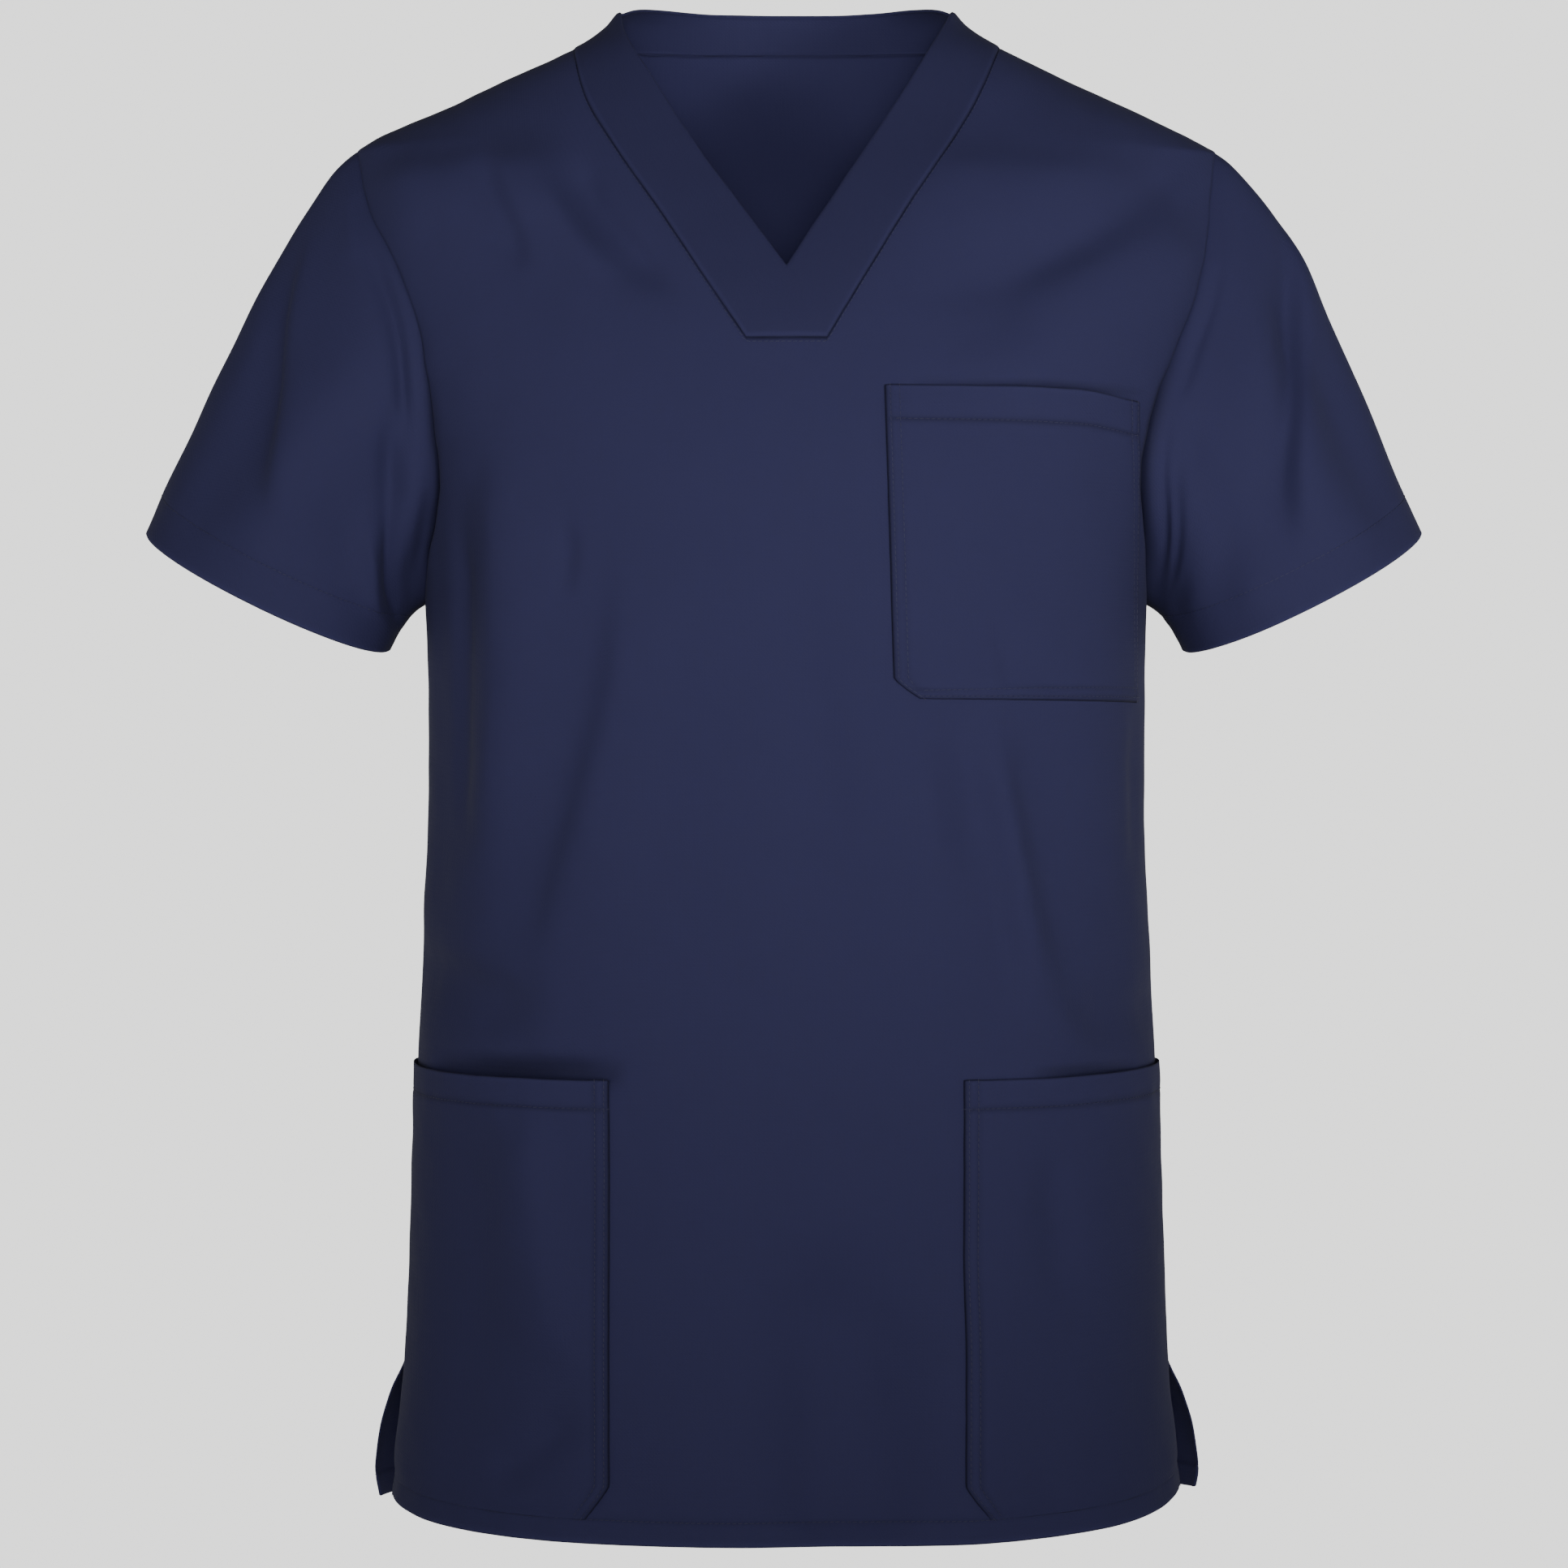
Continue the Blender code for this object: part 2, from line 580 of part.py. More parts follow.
# ================================================================ neckband
def neck_edge_front(column, last, side):
    """Half width and height of the V's free edge beside a column of the front panel."""
    if column == 0:
        height = NECK_EDGE[0].height
    else:
        start = mix(NECK_EDGE[0].height, NECK_EDGE[-1].height, 0.018)
        height = mix(start, NECK_EDGE[-1].height, crowd((column - 1) / (last - 1)))
    return smooth(NECK_EDGE, height, "left" if side > 0 else "right"), height


def neck_edge_back(column, last, _side):
    reach = column / last
    drop = (BACK_EDGE_HEIGHT - NECK_EDGE_TOP[1]) * reach ** 9
    return NECK_EDGE_TOP[0] * reach, BACK_EDGE_HEIGHT - drop


def neckband(name, inner, back):
    """The band between the neck seam and the free edge, from shoulder to shoulder."""
    last = len(inner) - 1
    edge_of = neck_edge_back if back else neck_edge_front
    rows = []
    for r in range(BAND_ROWS + 1):
        part = r / BAND_ROWS
        halves = []
        for side in (-1, 1):
            half = []
            for column in range(last + 1):
                seam_width, seam_height = top_point(column, inner, back, side)
                edge_width, edge_height = edge_of(column, last, side)
                at_shoulder = column == last
                seam = math.pi / 2 if at_shoulder else angle_at(seam_width, seam_height, back)
                edge = math.pi / 2 if at_shoulder else angle_at(edge_width, edge_height, back)
                half.append((mix(seam, edge, part), mix(seam_height, edge_height, part)))
            halves.append(half)
        rows.append(join_halves(*halves))
    if back:
        rows = [list(reversed(row)) for row in rows]
    sheet = cloth_sheet(rows)
    end = len(rows[0]) - 1
    for row in range(BAND_ROWS + 1):
        pull_in(sheet, row, 0, row, 1, SEAM_GAP / 2)
        pull_in(sheet, row, end, row, end - 1, SEAM_GAP / 2)
    for column in range(end + 1):
        pull_in(sheet, 0, column, 1, column, SEAM_GAP)
    solid_from_sheet(name, sheet, navy_poplin(name + "_poplin"), lambda r, c: CLOTH)


# ================================================================ patch pockets
def patch(name, panel, rows, columns, free, gape):
    """A pocket on a stretch of a panel's lattice, moved out by its own wall and a gap.

    free is the column of its inner edge, whose lower corner is cut off.
    """
    first, last = columns[0], columns[-1]
    points = [list(row) for row in panel.points]
    top = rows[-1]
    for r in rows:
        fade = ease(1.0 - (top - r) / MOUTH_ROWS)
        for c in columns:
            across = abs(c - free) / (last - first)
            lift = gape * fade * math.sin(math.pi * min(across, 1.0))
            points[r][c] = points[r][c] + panel.normals[r][c] * (PATCH_GAP + CLOTH + lift)
    corner = (rows[0], free)
    cells = [tuple(p for p in cell if p != corner)
             for cell in grid_cells(rows[:-1], columns[:-1])]
    solid_from_sheet(name, Sheet(points, panel.normals), navy_poplin(name + "_poplin"),
                     lambda r, c: CLOTH, cells)


def pockets(panel):
    """The chest pocket on the wearer's left, and the two hip pockets."""
    middle = len(INNER_COLUMNS_FRONT) + OUTER_COLUMNS - 1
    last = 2 * middle
    level = {round(z, 4): i for i, z in enumerate(LEVELS)}
    chest_rows = list(range(level[CHEST_POCKET_FOOT], level[CHEST_POCKET_TOP] + 1))
    hip_rows = list(range(level[HEM_LINE], level[HIP_POCKET_TOP] + 1))
    chest = INNER_COLUMNS_FRONT.index(CHEST_POCKET_EDGE)
    hip = INNER_COLUMNS_FRONT.index(HIP_POCKET_EDGE)
    outer = middle + len(INNER_COLUMNS_FRONT) + POCKET_COLUMNS
    patch("chest_pocket", panel, chest_rows, list(range(middle + chest, outer)),
          middle + chest, MOUTH_GAPE_CHEST)
    patch("hip_pocket_left", panel, hip_rows, list(range(middle + hip, last)),
          middle + hip, MOUTH_GAPE_HIP)
    patch("hip_pocket_right", panel, hip_rows, list(range(1, middle - hip + 1)),
          middle - hip, MOUTH_GAPE_HIP)


# ================================================================ sleeves
def armhole_ring(front, back, side):
    """Points and outward directions round an armhole: top, front, armpit, back."""
    column = -1 if side > 0 else 0
    back_column = 0 if side > 0 else -1
    low = LEVELS.index(ARMPIT)
    down = [(front.points[r][column], front.normals[r][column])
            for r in range(len(front.points) - 1, low - 1, -1)]
    up = [(back.points[r][back_column], back.normals[r][back_column])
          for r in range(low + 1, len(back.points) - 1)]
    return down + up, len(down) - 1


def cuff_point(part, side):
    """A point of the cuff's edge: part 0 is the outer corner, 0.25 front, 0.5 at the body."""
    angle = 2.0 * math.pi * part
    across, forward = math.cos(angle), math.sin(angle)
    reach = CUFF_HALF_WIDTH * across
    drop = CUFF_FRONT_DIP * forward if forward > 0 else CUFF_BACK_RISE * forward
    x = CUFF_MIDDLE.x + reach * math.cos(CUFF_TILT) + (CUFF_OUT_LEFT if side > 0 else 0.0) * (
        0.5 + 0.5 * across)
    z = CUFF_MIDDLE.z + reach * math.sin(CUFF_TILT) - drop
    return Vector((x, CUFF_MIDDLE.y - CUFF_HALF_DEPTH * forward, z))


def sleeve_round(points, low):
    """Place of each ring point round the sleeve, by its length along the edge."""
    lengths = [0.0]
    for a, b in zip(points, points[1:] + points[:1]):
        lengths.append(lengths[-1] + (b - a).length)
    half, whole = lengths[low], lengths[-1]
    return [0.5 * d / half if i <= low else 0.5 + 0.5 * (d - half) / (whole - half)
            for i, d in enumerate(lengths[:-1])]


def sleeve_fold_rise(folds, around, along):
    total = 0.0
    for fold in folds:
        middle = mix(fold.round_a, fold.round_b, along)
        off = (around - middle) / fold.half_width
        fade = ease((along - fold.start) / 0.3) * ease((fold.end - along) / 0.3)
        total += fold.rise * fade * math.exp(-off * off)
    return total


def sleeve_point(start, around, along, side):
    """A point of a sleeve, on a curve from the armhole to the cuff."""
    cuff = cuff_point(around, side)
    end = Vector((cuff.x * side, cuff.y, cuff.z))
    reach = (end - start).length
    forward = math.sin(2.0 * math.pi * around)
    top = 0.5 + 0.5 * math.cos(2.0 * math.pi * around)
    shoulder = Vector((side * math.cos(SHOULDER_FALL), -0.10 * forward, -math.sin(SHOULDER_FALL)))
    under = Vector((side * 0.80, -0.42 * forward, -0.50))
    leave = under.lerp(shoulder, top).normalized() * reach * mix(
        UNDER_LEAVE, TOP_LEAVE_LEFT if side > 0 else TOP_LEAVE_RIGHT, top)
    arrive = Vector((side * math.sin(SLEEVE_FALL), 0.0, -math.cos(SLEEVE_FALL))) * reach * ARRIVE
    square, cube = along * along, along ** 3
    return (start * (2 * cube - 3 * square + 1) + leave * (cube - 2 * square + along)
            + end * (3 * square - 2 * cube) + arrive * (cube - square))


def sleeve(name, front, back, side, folds):
    """A short sleeve, set into the armhole."""
    ring, low = armhole_ring(front, back, side)
    starts = [point for point, _ in ring]
    places = sleeve_round(starts, low)
    count = len(ring)

    def place(i, along):
        return sleeve_point(starts[i], places[i], along, side)

    def direction(i, along):
        """Outward direction at a place of the sleeve."""
        before, after = (i - 1) % count, (i + 1) % count
        lo, hi = max(along - 0.02, 0.0), min(along + 0.02, 1.0)
        around = place(after, along) - place(before, along)
        down = place(i, hi) - place(i, lo)
        return (around.cross(down) * side).normalized()

    points, normals = [], []
    for r in range(SLEEVE_ROWS + 1):
        along = r / SLEEVE_ROWS
        row, row_normals = [], []
        for i, start in enumerate(starts):
            outward = direction(i, along)
            point = place(i, along)
            point = point + outward * sleeve_fold_rise(folds, places[i], along)
            if r == 0:
                # the wall's end leans away from the panel, never over it
                away = direction_of_edge(ring, i, side)
                point = start + away * SEAM_GAP
                outward = outward - away * max(outward.dot(away), 0.0)
                outward.normalize()
            row.append(point)
            row_normals.append(outward)
        points.append(row)
        normals.append(row_normals)
    cells = []
    for r in range(SLEEVE_ROWS):
        for c in range(count):
            d = (c + 1) % count
            cell = ((r, c), (r, d), (r + 1, d), (r + 1, c))
            cells.append(cell if side > 0 else tuple(reversed(cell)))
    hem_rows = 2

    def sleeve_wall(row, _column):
        return HEM_CLOTH if row > SLEEVE_ROWS - hem_rows else CLOTH

    solid_from_sheet(name, Sheet(points, normals), navy_poplin(name + "_poplin"), sleeve_wall,
                     cells)


def direction_of_edge(ring, i, side):
    """Direction away from the panel at a point of the armhole edge, along its cloth."""
    count = len(ring)
    along = ring[(i + 1) % count][0] - ring[(i - 1) % count][0]
    away = ring[i][1].cross(along) * side
    return away.normalized()


# ================================================================ the whole top
def clear_scene():
    for thing in list(bpy.data.objects):
        bpy.data.objects.remove(thing, do_unlink=True)


def build():
    clear_scene()
    front = body_panel("front_panel", INNER_COLUMNS_FRONT, back=False)
    back = body_panel("back_panel", INNER_COLUMNS_BACK, back=True)
    neckband("front_neckband", INNER_COLUMNS_FRONT, back=False)
    neckband("back_neckband", INNER_COLUMNS_BACK, back=True)
    pockets(front)
    sleeve("sleeve_left", front, back, 1, LEFT_SLEEVE_FOLDS)
    sleeve("sleeve_right", front, back, -1, RIGHT_SLEEVE_FOLDS)


build()
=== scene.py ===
"""Looks of a short-sleeved, V-necked medical scrub top in navy poplin, filled out as when worn.

Each cloth piece is a fine shell that stands for one plain solid of the model. It lies on one round
form, a stack of rounded sections from the hem to the neck, with its folds, creases, seams and
puckers laid on it in real sizes. A node tree lays the topstitching along the seams.

Metres, and millimetres in the tables. +Z is up, the front faces -Y and the wearer's left is +X.
Angles go round the body: 0 at the middle of the front, +90 degrees at the wearer's left side.
"""
import math
from collections import namedtuple

import bpy
import numpy as np
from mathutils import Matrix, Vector


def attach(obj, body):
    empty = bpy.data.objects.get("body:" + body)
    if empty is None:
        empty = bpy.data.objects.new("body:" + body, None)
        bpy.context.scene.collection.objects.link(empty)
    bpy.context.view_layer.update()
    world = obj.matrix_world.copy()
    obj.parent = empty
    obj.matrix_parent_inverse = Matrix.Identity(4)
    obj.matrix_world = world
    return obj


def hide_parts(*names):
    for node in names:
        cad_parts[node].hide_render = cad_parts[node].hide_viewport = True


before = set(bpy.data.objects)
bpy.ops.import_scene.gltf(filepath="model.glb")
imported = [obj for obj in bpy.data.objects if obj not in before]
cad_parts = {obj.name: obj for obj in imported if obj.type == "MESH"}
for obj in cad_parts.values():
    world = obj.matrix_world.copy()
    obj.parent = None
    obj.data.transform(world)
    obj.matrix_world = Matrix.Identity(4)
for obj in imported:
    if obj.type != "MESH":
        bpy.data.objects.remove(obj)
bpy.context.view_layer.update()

bl_info = {
    "name": "Scrub top",
    "version": (1, 0, 0),
    "blender": (4, 5, 0),
    "location": "View3D > Sidebar > Scrub top",
    "description": "Cloth, sewing and studio of a navy V-necked scrub top",
    "category": "Object",
}

BODY = "root"               # the top is one body
PANELS = ("front_panel", "back_panel")


def metres(value):
    return tuple(map(metres, value)) if isinstance(value, tuple) else value / 1000


def table(columns, rows, plain=()):
    """Rows with named columns, written in millimetres. Plain names the columns that are not."""
    Row = namedtuple("Row", columns)
    return [Row(*(value if name in plain else metres(value)
                  for name, value in zip(Row._fields, row))) for row in rows]


# ---------------------------------------------------------------- heights, from the shoulder line
HEM = -0.741
HEM_LINE = -0.730           # stitching of the narrow hem, and foot of the hip pockets
VENT_TOP = -0.668
HIP_POCKET_TOP = -0.520
CHEST_POCKET_FOOT = -0.337
ARMPIT = -0.286
CHEST_POCKET_TOP = -0.1865  # also the level where the rows start to fan out to neck and shoulder

# ---------------------------------------------------------------- widths, from the middle
CHEST_POCKET_EDGE = 0.0495
CHEST_POCKET_OUTER = 0.1732  # its outer edge, sewn down straight up and down
HIP_POCKET_EDGE = 0.085
SIDE_TURN = 0.126           # outside this the columns share the round side evenly
NECK_FOOT_HALF = 0.0195     # half the flat foot of the neckband
NECK_SEAM_TOP = (0.1075, -0.007)    # half width and height of the neck seam on the shoulder
NECK_EDGE_TOP = (0.084, 0.0115)     # the same for the free edge of the band
SHOULDER_POINT = (0.2155, -0.0579)  # top of the armhole
BACK_EDGE_HEIGHT = 0.0196   # height of the band's edge at the middle of the back
BAND_WIDTH = 0.034

SECTIONS = table("height half_width front back square", [
    (-741, 199.5, 129, 124, 2.35), (-715, 196.5, 128.5, 123, 2.35), (-668, 190.8, 127.5, 121, 2.35),
    (-600, 188, 127, 119, 2.35), (-520, 185.7, 126.5, 116, 2.35), (-450, 182.5, 126, 112.5, 2.35),
    (-390, 180.3, 125.5, 111, 2.35), (-330, 180.4, 126, 113, 2.35), (-286, 181.6, 126, 116, 2.35),
    (-221.5, 190.5, 122.5, 119, 2.3), (-158, 210.5, 110, 115.5, 2.3), (-120, 222.5, 97, 108, 2.3),
    (-90, 226.5, 83.5, 99.5, 2.3), (-61.5, 221.2, 69, 89, 2.3), (-55.4, 210.8, 66.2, 86.2, 2.3),
    (-30.8, 156.8, 56.2, 74.2, 2.3), (-12.3, 118.3, 50, 65.5, 2.3), (-2, 97.6, 47, 61.5, 2.3),
    (2.5, 91.7, 45.5, 60, 2.3), (11.5, 84.2, 43, 57, 2.3), (19.6, 73.8, 41, 55, 2.3),
], plain=("square",))
ARMHOLE = table("height front_left front_right back", [
    (-286, 181.6, 181.6, 181.6), (-266, 180.8, 180.8, 181.8), (-221.5, 176.8, 175.5, 180),
    (-189, 182.5, 176.2, 186), (-158, 194.5, 180, 195), (-120, 206, 192.5, 206.5),
    (-90, 212.5, 207.5, 213), (-57.9, 215.5, 215.5, 215.5),
])
# The neck seam and the free edge of the V hang a little towards the wearer's right.
NECK_SEAM = table("height left right", [
    (-163, 19.5, 19.5), (-129, 39.4, 42), (-100, 56.9, 60.6), (-67, 78.4, 82.8), (-35, 96, 100.4),
    (-7, 107.5, 107.5),
])
NECK_EDGE = table("height left right", [
    (-127, 0, 0), (-100, 17, 19), (-66, 38.7, 43), (-30, 61.2, 65.3), (3, 79.7, 82.5),
    (11.5, 84, 84),
])
VENT_FLARE = table("height half_width", [
    (-741, 9), (-722, 13), (-704, 12.2), (-686, 9), (-664, 1.4), (-640, 0),
])
# The corners of the hem rise unevenly.
SIDE_RISE = table("height front_left front_right back_left back_right", [
    (-741, 16.5, 10.5, 7.5, 2), (-730, 15.5, 9.8, 7, 2), (-668, 4, 4, 4, 4),
    (-520, 4.5, 4.5, 4.5, 4.5), (-450, 0, 0, 0, 0), (-400, 0, 0, 0, 0),
])
SIDE_RISE_POWER = 2.6
VENT_SPREAD = math.radians(5.0)
FLARE_START = math.radians(50.0)

# Large soft folds of the body: from one end to the other, as girth from the middle of the front
# or back, and height.
FOLD = "girth_a height_a girth_b height_b half_width rise"
FRONT_FOLDS = table(FOLD, [
    (-190, -215, -185, -410, 16, -3), (-147, -80, -122, -150, 13, -1.6),
    (208, -88, 100, -150, 18, -4.2), (200, -130, 120, -175, 18, 2.6),
    (128, -360, 172, -500, 19, -1.6), (45, -640, 50, -728, 24, -4.2),
    (-150, -560, -165, -720, 24, -2.4),
])
BACK_FOLDS = table(FOLD, [
    (-85, -180, -110, -480, 24, -4.6), (75, -200, 100, -520, 24, -4.6),
    (-195, -150, -80, -235, 20, -4), (195, -140, 90, -225, 20, -4), (10, -420, -5, -735, 30, 4),
    (-140, -480, -120, -735, 26, 3.6), (130, -500, 145, -735, 26, 3.6),
])

# Creases: a line through points (half width from the middle, height), as seen from the front or
# back, how wide the crease is on each side of its line, and how far it rises. The first width is on
# the side of the wearer's right, or above a level line.
CREASE = "points width_a width_b rise"
FRONT_CREASES = table(CREASE, [
    # the roll below each shoulder, and the drag lines from the shoulders to the neck
    (((-214, -88), (-180, -84), (-143, -82), (-92, -83)), 18, 28, 8),
    (((46, -76), (104, -84), (150, -85), (200, -82)), 20, 36, 6),
    (((-151, -66), (-139, -98), (-124, -130)), 10, 5, -3),
    (((-110, -64), (-94, -93), (-72, -122), (-52, -147)), 12, 7, -4.2),
    (((-123, -82), (-106, -108), (-84, -136)), 6, 8, 2.2),
    (((220, -52), (178, -81), (138, -110), (98, -131), (54, -146)), 24, 13, -5.8),
    (((210, -92), (164, -121), (104, -152)), 12, 20, 5),
    # below the wearer's right armpit
    (((-112, -246), (-105, -264), (-109, -290)), 4, 5, -2),
    (((-161, -225), (-160, -290), (-160, -350), (-160, -425)), 9, 9, -4.6),
    (((-140, -190), (-138, -265), (-138, -340), (-146, -430)), 14, 20, 5.8),
    (((-74, -250), (-77, -313), (-84, -352), (-97, -399), (-109, -440), (-119, -495)), 13, 28, 3.4),
    (((-91, -265), (-96, -332), (-108, -379), (-121, -425), (-132, -480)), 22, 12, -2.8),
    # from the chest pocket's foot to the hip
    (((98, -340), (111, -410), (118, -470), (121, -505)), 8, 10, 3.6),
    (((78, -335), (94, -397), (107, -461), (112, -508)), 14, 8, -3.2),
    (((108, -340), (119, -405), (136, -462), (146, -500)), 8, 16, -2.8),
    (((12, -250), (13, -306), (22, -375), (31, -430)), 14, 8, -2.2),
    (((56, -310), (64, -375), (72, -445)), 16, 12, 3),
    (((171, -340), (172, -383), (173, -426)), 6, 8, -1.8),
    # drawn down by the hip pockets, and the hollows at the hem
    (((-188, -462), (-150, -478), (-112, -492)), 12, 20, -6),
    (((132, -486), (158, -488), (186, -488)), 12, 18, -4.8),
    (((126, -548), (131, -590), (133, -632)), 12, 11, -3.8),
    (((-126, -518), (-122, -590), (-104, -672)), 26, 13, 7.2),
    (((-146, -716), (-121, -697), (-96, -674)), 10, 11, -3.6),
    (((10, -585), (18, -660), (22, -770)), 26, 46, -12),
    (((78, -600), (84, -670), (88, -770)), 40, 30, 5.5),
])
BACK_CREASES = table(CREASE, [
    (((-208, -80), (-172, -98), (-130, -122), (-96, -136)), 12, 8, -2),
    (((206, -76), (168, -96), (128, -118)), 12, 8, -1.8),
    (((-195, -105), (-150, -128), (-105, -150)), 8, 18, 1.6),
    (((196, -108), (155, -130), (110, -152)), 8, 18, 1.6),
    (((-150, -230), (-100, -260), (-50, -265)), 8, 12, 1.4),
    (((155, -220), (105, -255), (60, -258)), 8, 12, 1.4),
    (((-166, -240), (-164, -310), (-158, -400)), 7, 8, -2),
    (((165, -245), (163, -320), (166, -410)), 8, 7, -2),
    (((-80, -270), (-95, -350), (-118, -440)), 10, 22, 2.6),
    (((74, -280), (88, -370), (110, -470)), 22, 10, 2.6),
    (((10, -300), (2, -380), (-6, -450)), 12, 8, -1.4),
    (((-50, -600), (-40, -665), (-45, -724)), 14, 12, -2.4),
    (((60, -580), (70, -650), (64, -722)), 12, 15, -2.2),
    (((-160, -500), (-120, -520), (-85, -528)), 10, 12, -1.4),
])
CHEST_POCKET_CREASES = table(CREASE, [
    (((94, -294), (106, -317), (107, -328), (104, -336)), 4, 6, -1.2),
    (((88, -300), (99, -272), (112, -252)), 8, 10, 1),
    (((150, -325), (140, -290), (146, -255)), 8, 10, -1),
])

# ---------------------------------------------------------------- sleeves
CUFF_MIDDLE = np.array((0.2614, -0.002, -0.2800))
CUFF_HALF_WIDTH = 0.0684
CUFF_HALF_DEPTH = 0.0570
CUFF_TILT = math.radians(26.0)
CUFF_FRONT_DIP = 0.0097
CUFF_BACK_RISE = 0.0040
CUFF_HEM = 0.020            # depth of the cuff's hem
SLEEVE_LENGTH = 0.21
SLEEVE_GIRTH = 0.42
SLEEVE_FALL = math.radians(24.7)
SHOULDER_FALL = math.radians(38.0)
UNDER_WAY = (0.80, 0.42, 0.50)      # how the underside leaves the armpit: out, spread, down
SHOULDER_SPREAD = 0.10
UNDER_LEAVE = 0.90          # how far the underside and the top keep the way they leave the armhole
TOP_LEAVE = {1: 0.76, -1: 0.56}
CUFF_OUT = {1: -0.0030, -1: 0.0}    # how far the top of each cuff lies further out

# Folds and creases of a sleeve. Shares go round it from the top, with 0.25 at the front, and along
# it. The points of a crease are pairs of these. Its first width is towards the top.
SLEEVE_FOLD = "round_a round_b start end half_width rise"
SLEEVE_SHARES = ("round_a", "round_b", "start", "end", "half_width", "points")
SLEEVE_FOLDS = {
    1: table(SLEEVE_FOLD, [
        (0.12, 0.11, 0.15, 1.05, 0.045, -4.2), (0.2, 0.19, 0.1, 1.05, 0.045, 3),
        (0.3, 0.33, 0, 0.9, 0.05, -4.6), (0.7, 0.69, 0.1, 0.95, 0.05, -4.2),
        (0.87, 0.88, 0.2, 1.05, 0.05, -3.6),
    ], SLEEVE_SHARES),
    -1: table(SLEEVE_FOLD, [
        (0.13, 0.14, 0.15, 1.05, 0.045, -4), (0.21, 0.22, 0.1, 1.05, 0.045, 3),
        (0.29, 0.33, 0, 0.9, 0.05, -4.8), (0.69, 0.68, 0.1, 0.95, 0.05, -4.2),
        (0.86, 0.87, 0.2, 1.05, 0.05, -3.6),
    ], SLEEVE_SHARES),
}
SLEEVE_CREASES = {
    1: table(CREASE, [
        (((0, 0.22), (0.036, 0.34), (0.092, 0.43), (0.16, 0.52), (0.204, 0.65),
          (0.228, 0.86)), 18, 7, 4),
        (((0.02, 0.22), (0.066, 0.33), (0.118, 0.41), (0.186, 0.5), (0.231, 0.63),
          (0.254, 0.84)), 7, 16, -4),
        (((0.12, 0.06), (0.182, 0.06), (0.227, 0.07), (0.28, 0.1)), 6, 7, -2.6),
        (((0.27, 0.01), (0.34, 0.11), (0.44, 0.24)), 10, 10, -3),
        (((0.07, 0.05), (0.11, 0.08), (0.15, 0.14)), 6, 10, 1.2),
        (((0.3, 0.12), (0.36, 0.26), (0.44, 0.42)), 10, 10, -2.2),
        (((0.88, 0.18), (0.835, 0.4), (0.79, 0.7)), 8, 18, 2.6),
        (((0.85, 0.2), (0.8, 0.42), (0.755, 0.7)), 16, 7, -2),
        (((0.7, 0.1), (0.65, 0.24), (0.58, 0.4)), 10, 10, -2.2),
    ], SLEEVE_SHARES),
    -1: table(CREASE, [
        (((0.075, 0.24), (0.13, 0.42), (0.185, 0.57), (0.24, 0.8)), 7, 18, 4),
        (((0.045, 0.24), (0.095, 0.42), (0.15, 0.57), (0.205, 0.8)), 15, 7, -3.4),
        (((0.11, 0.05), (0.17, 0.07), (0.215, 0.09), (0.26, 0.12), (0.315, 0.17)), 10, 8, -4.8),
        (((0.275, 0.14), (0.33, 0.3), (0.4, 0.46), (0.47, 0.66)), 15, 14, -6),
        (((0.335, 0.48), (0.375, 0.62), (0.41, 0.8)), 6, 7, 2.2),
        (((0.06, 0.04), (0.1, 0.08), (0.14, 0.15)), 7, 10, 1.2),
        (((0.9, 0.2), (0.85, 0.42), (0.8, 0.74)), 9, 16, 2.4),
        (((0.865, 0.22), (0.815, 0.44), (0.765, 0.72)), 16, 7, -2),
        (((0.71, 0.12), (0.64, 0.28), (0.56, 0.48)), 10, 9, -2.4),
    ], SLEEVE_SHARES),
}

# ---------------------------------------------------------------- how the cloth is laid out
CELL = 0.0030               # size of a lattice cell on the body
FINE_CELL = 0.0020          # size of a lattice cell on bands and pockets
PATCH_LIFT = 0.0016         # a pocket's face over the panel's face
HEM_TURN = 0.0118           # how far the second layer of the hem reaches up
CHEST_POCKET_HEM, HIP_POCKET_HEM = 0.0165, 0.0135
CORNER_DEPTH = 0.0115       # how much of a pocket's inner edge is cut back at its foot
CHEST_CORNER_HEIGHT, HIP_CORNER_HEIGHT = 0.0095, 0.0165
CHEST_POCKET_LEAN = 0.0022  # its inner edge leans towards the middle at the top
CHEST_POCKET_DROOP = 0.0042  # its mouth hangs lower at the outer end
HIP_POCKET_SHORT = 0.011    # angle by which a hip pocket stops short of the side
# How a mouth stands open: how far, how deep down, and where and how widely across the pocket.
CHEST_MOUTH = (0.0026, 0.014, 0.70, 0.34)
HIP_MOUTH = {1: (0.0022, 0.022, 0.55, 0.40), -1: (0.0050, 0.022, 0.60, 0.40)}
SECOND_LINE = 0.0068        # the second line of stitching on a pocket, from its edge
VENT_LINE = 0.0065          # stitching of the vents, from their edge

# Where the panel stands back behind a pocket's mouth: from and to (half width), height, depth.
MOUTHS = table("start end height depth", [
    (60, 176, -185.5, 1.4), (118, 172, -517, 2), (-174, -78, -516, 7.5),
])

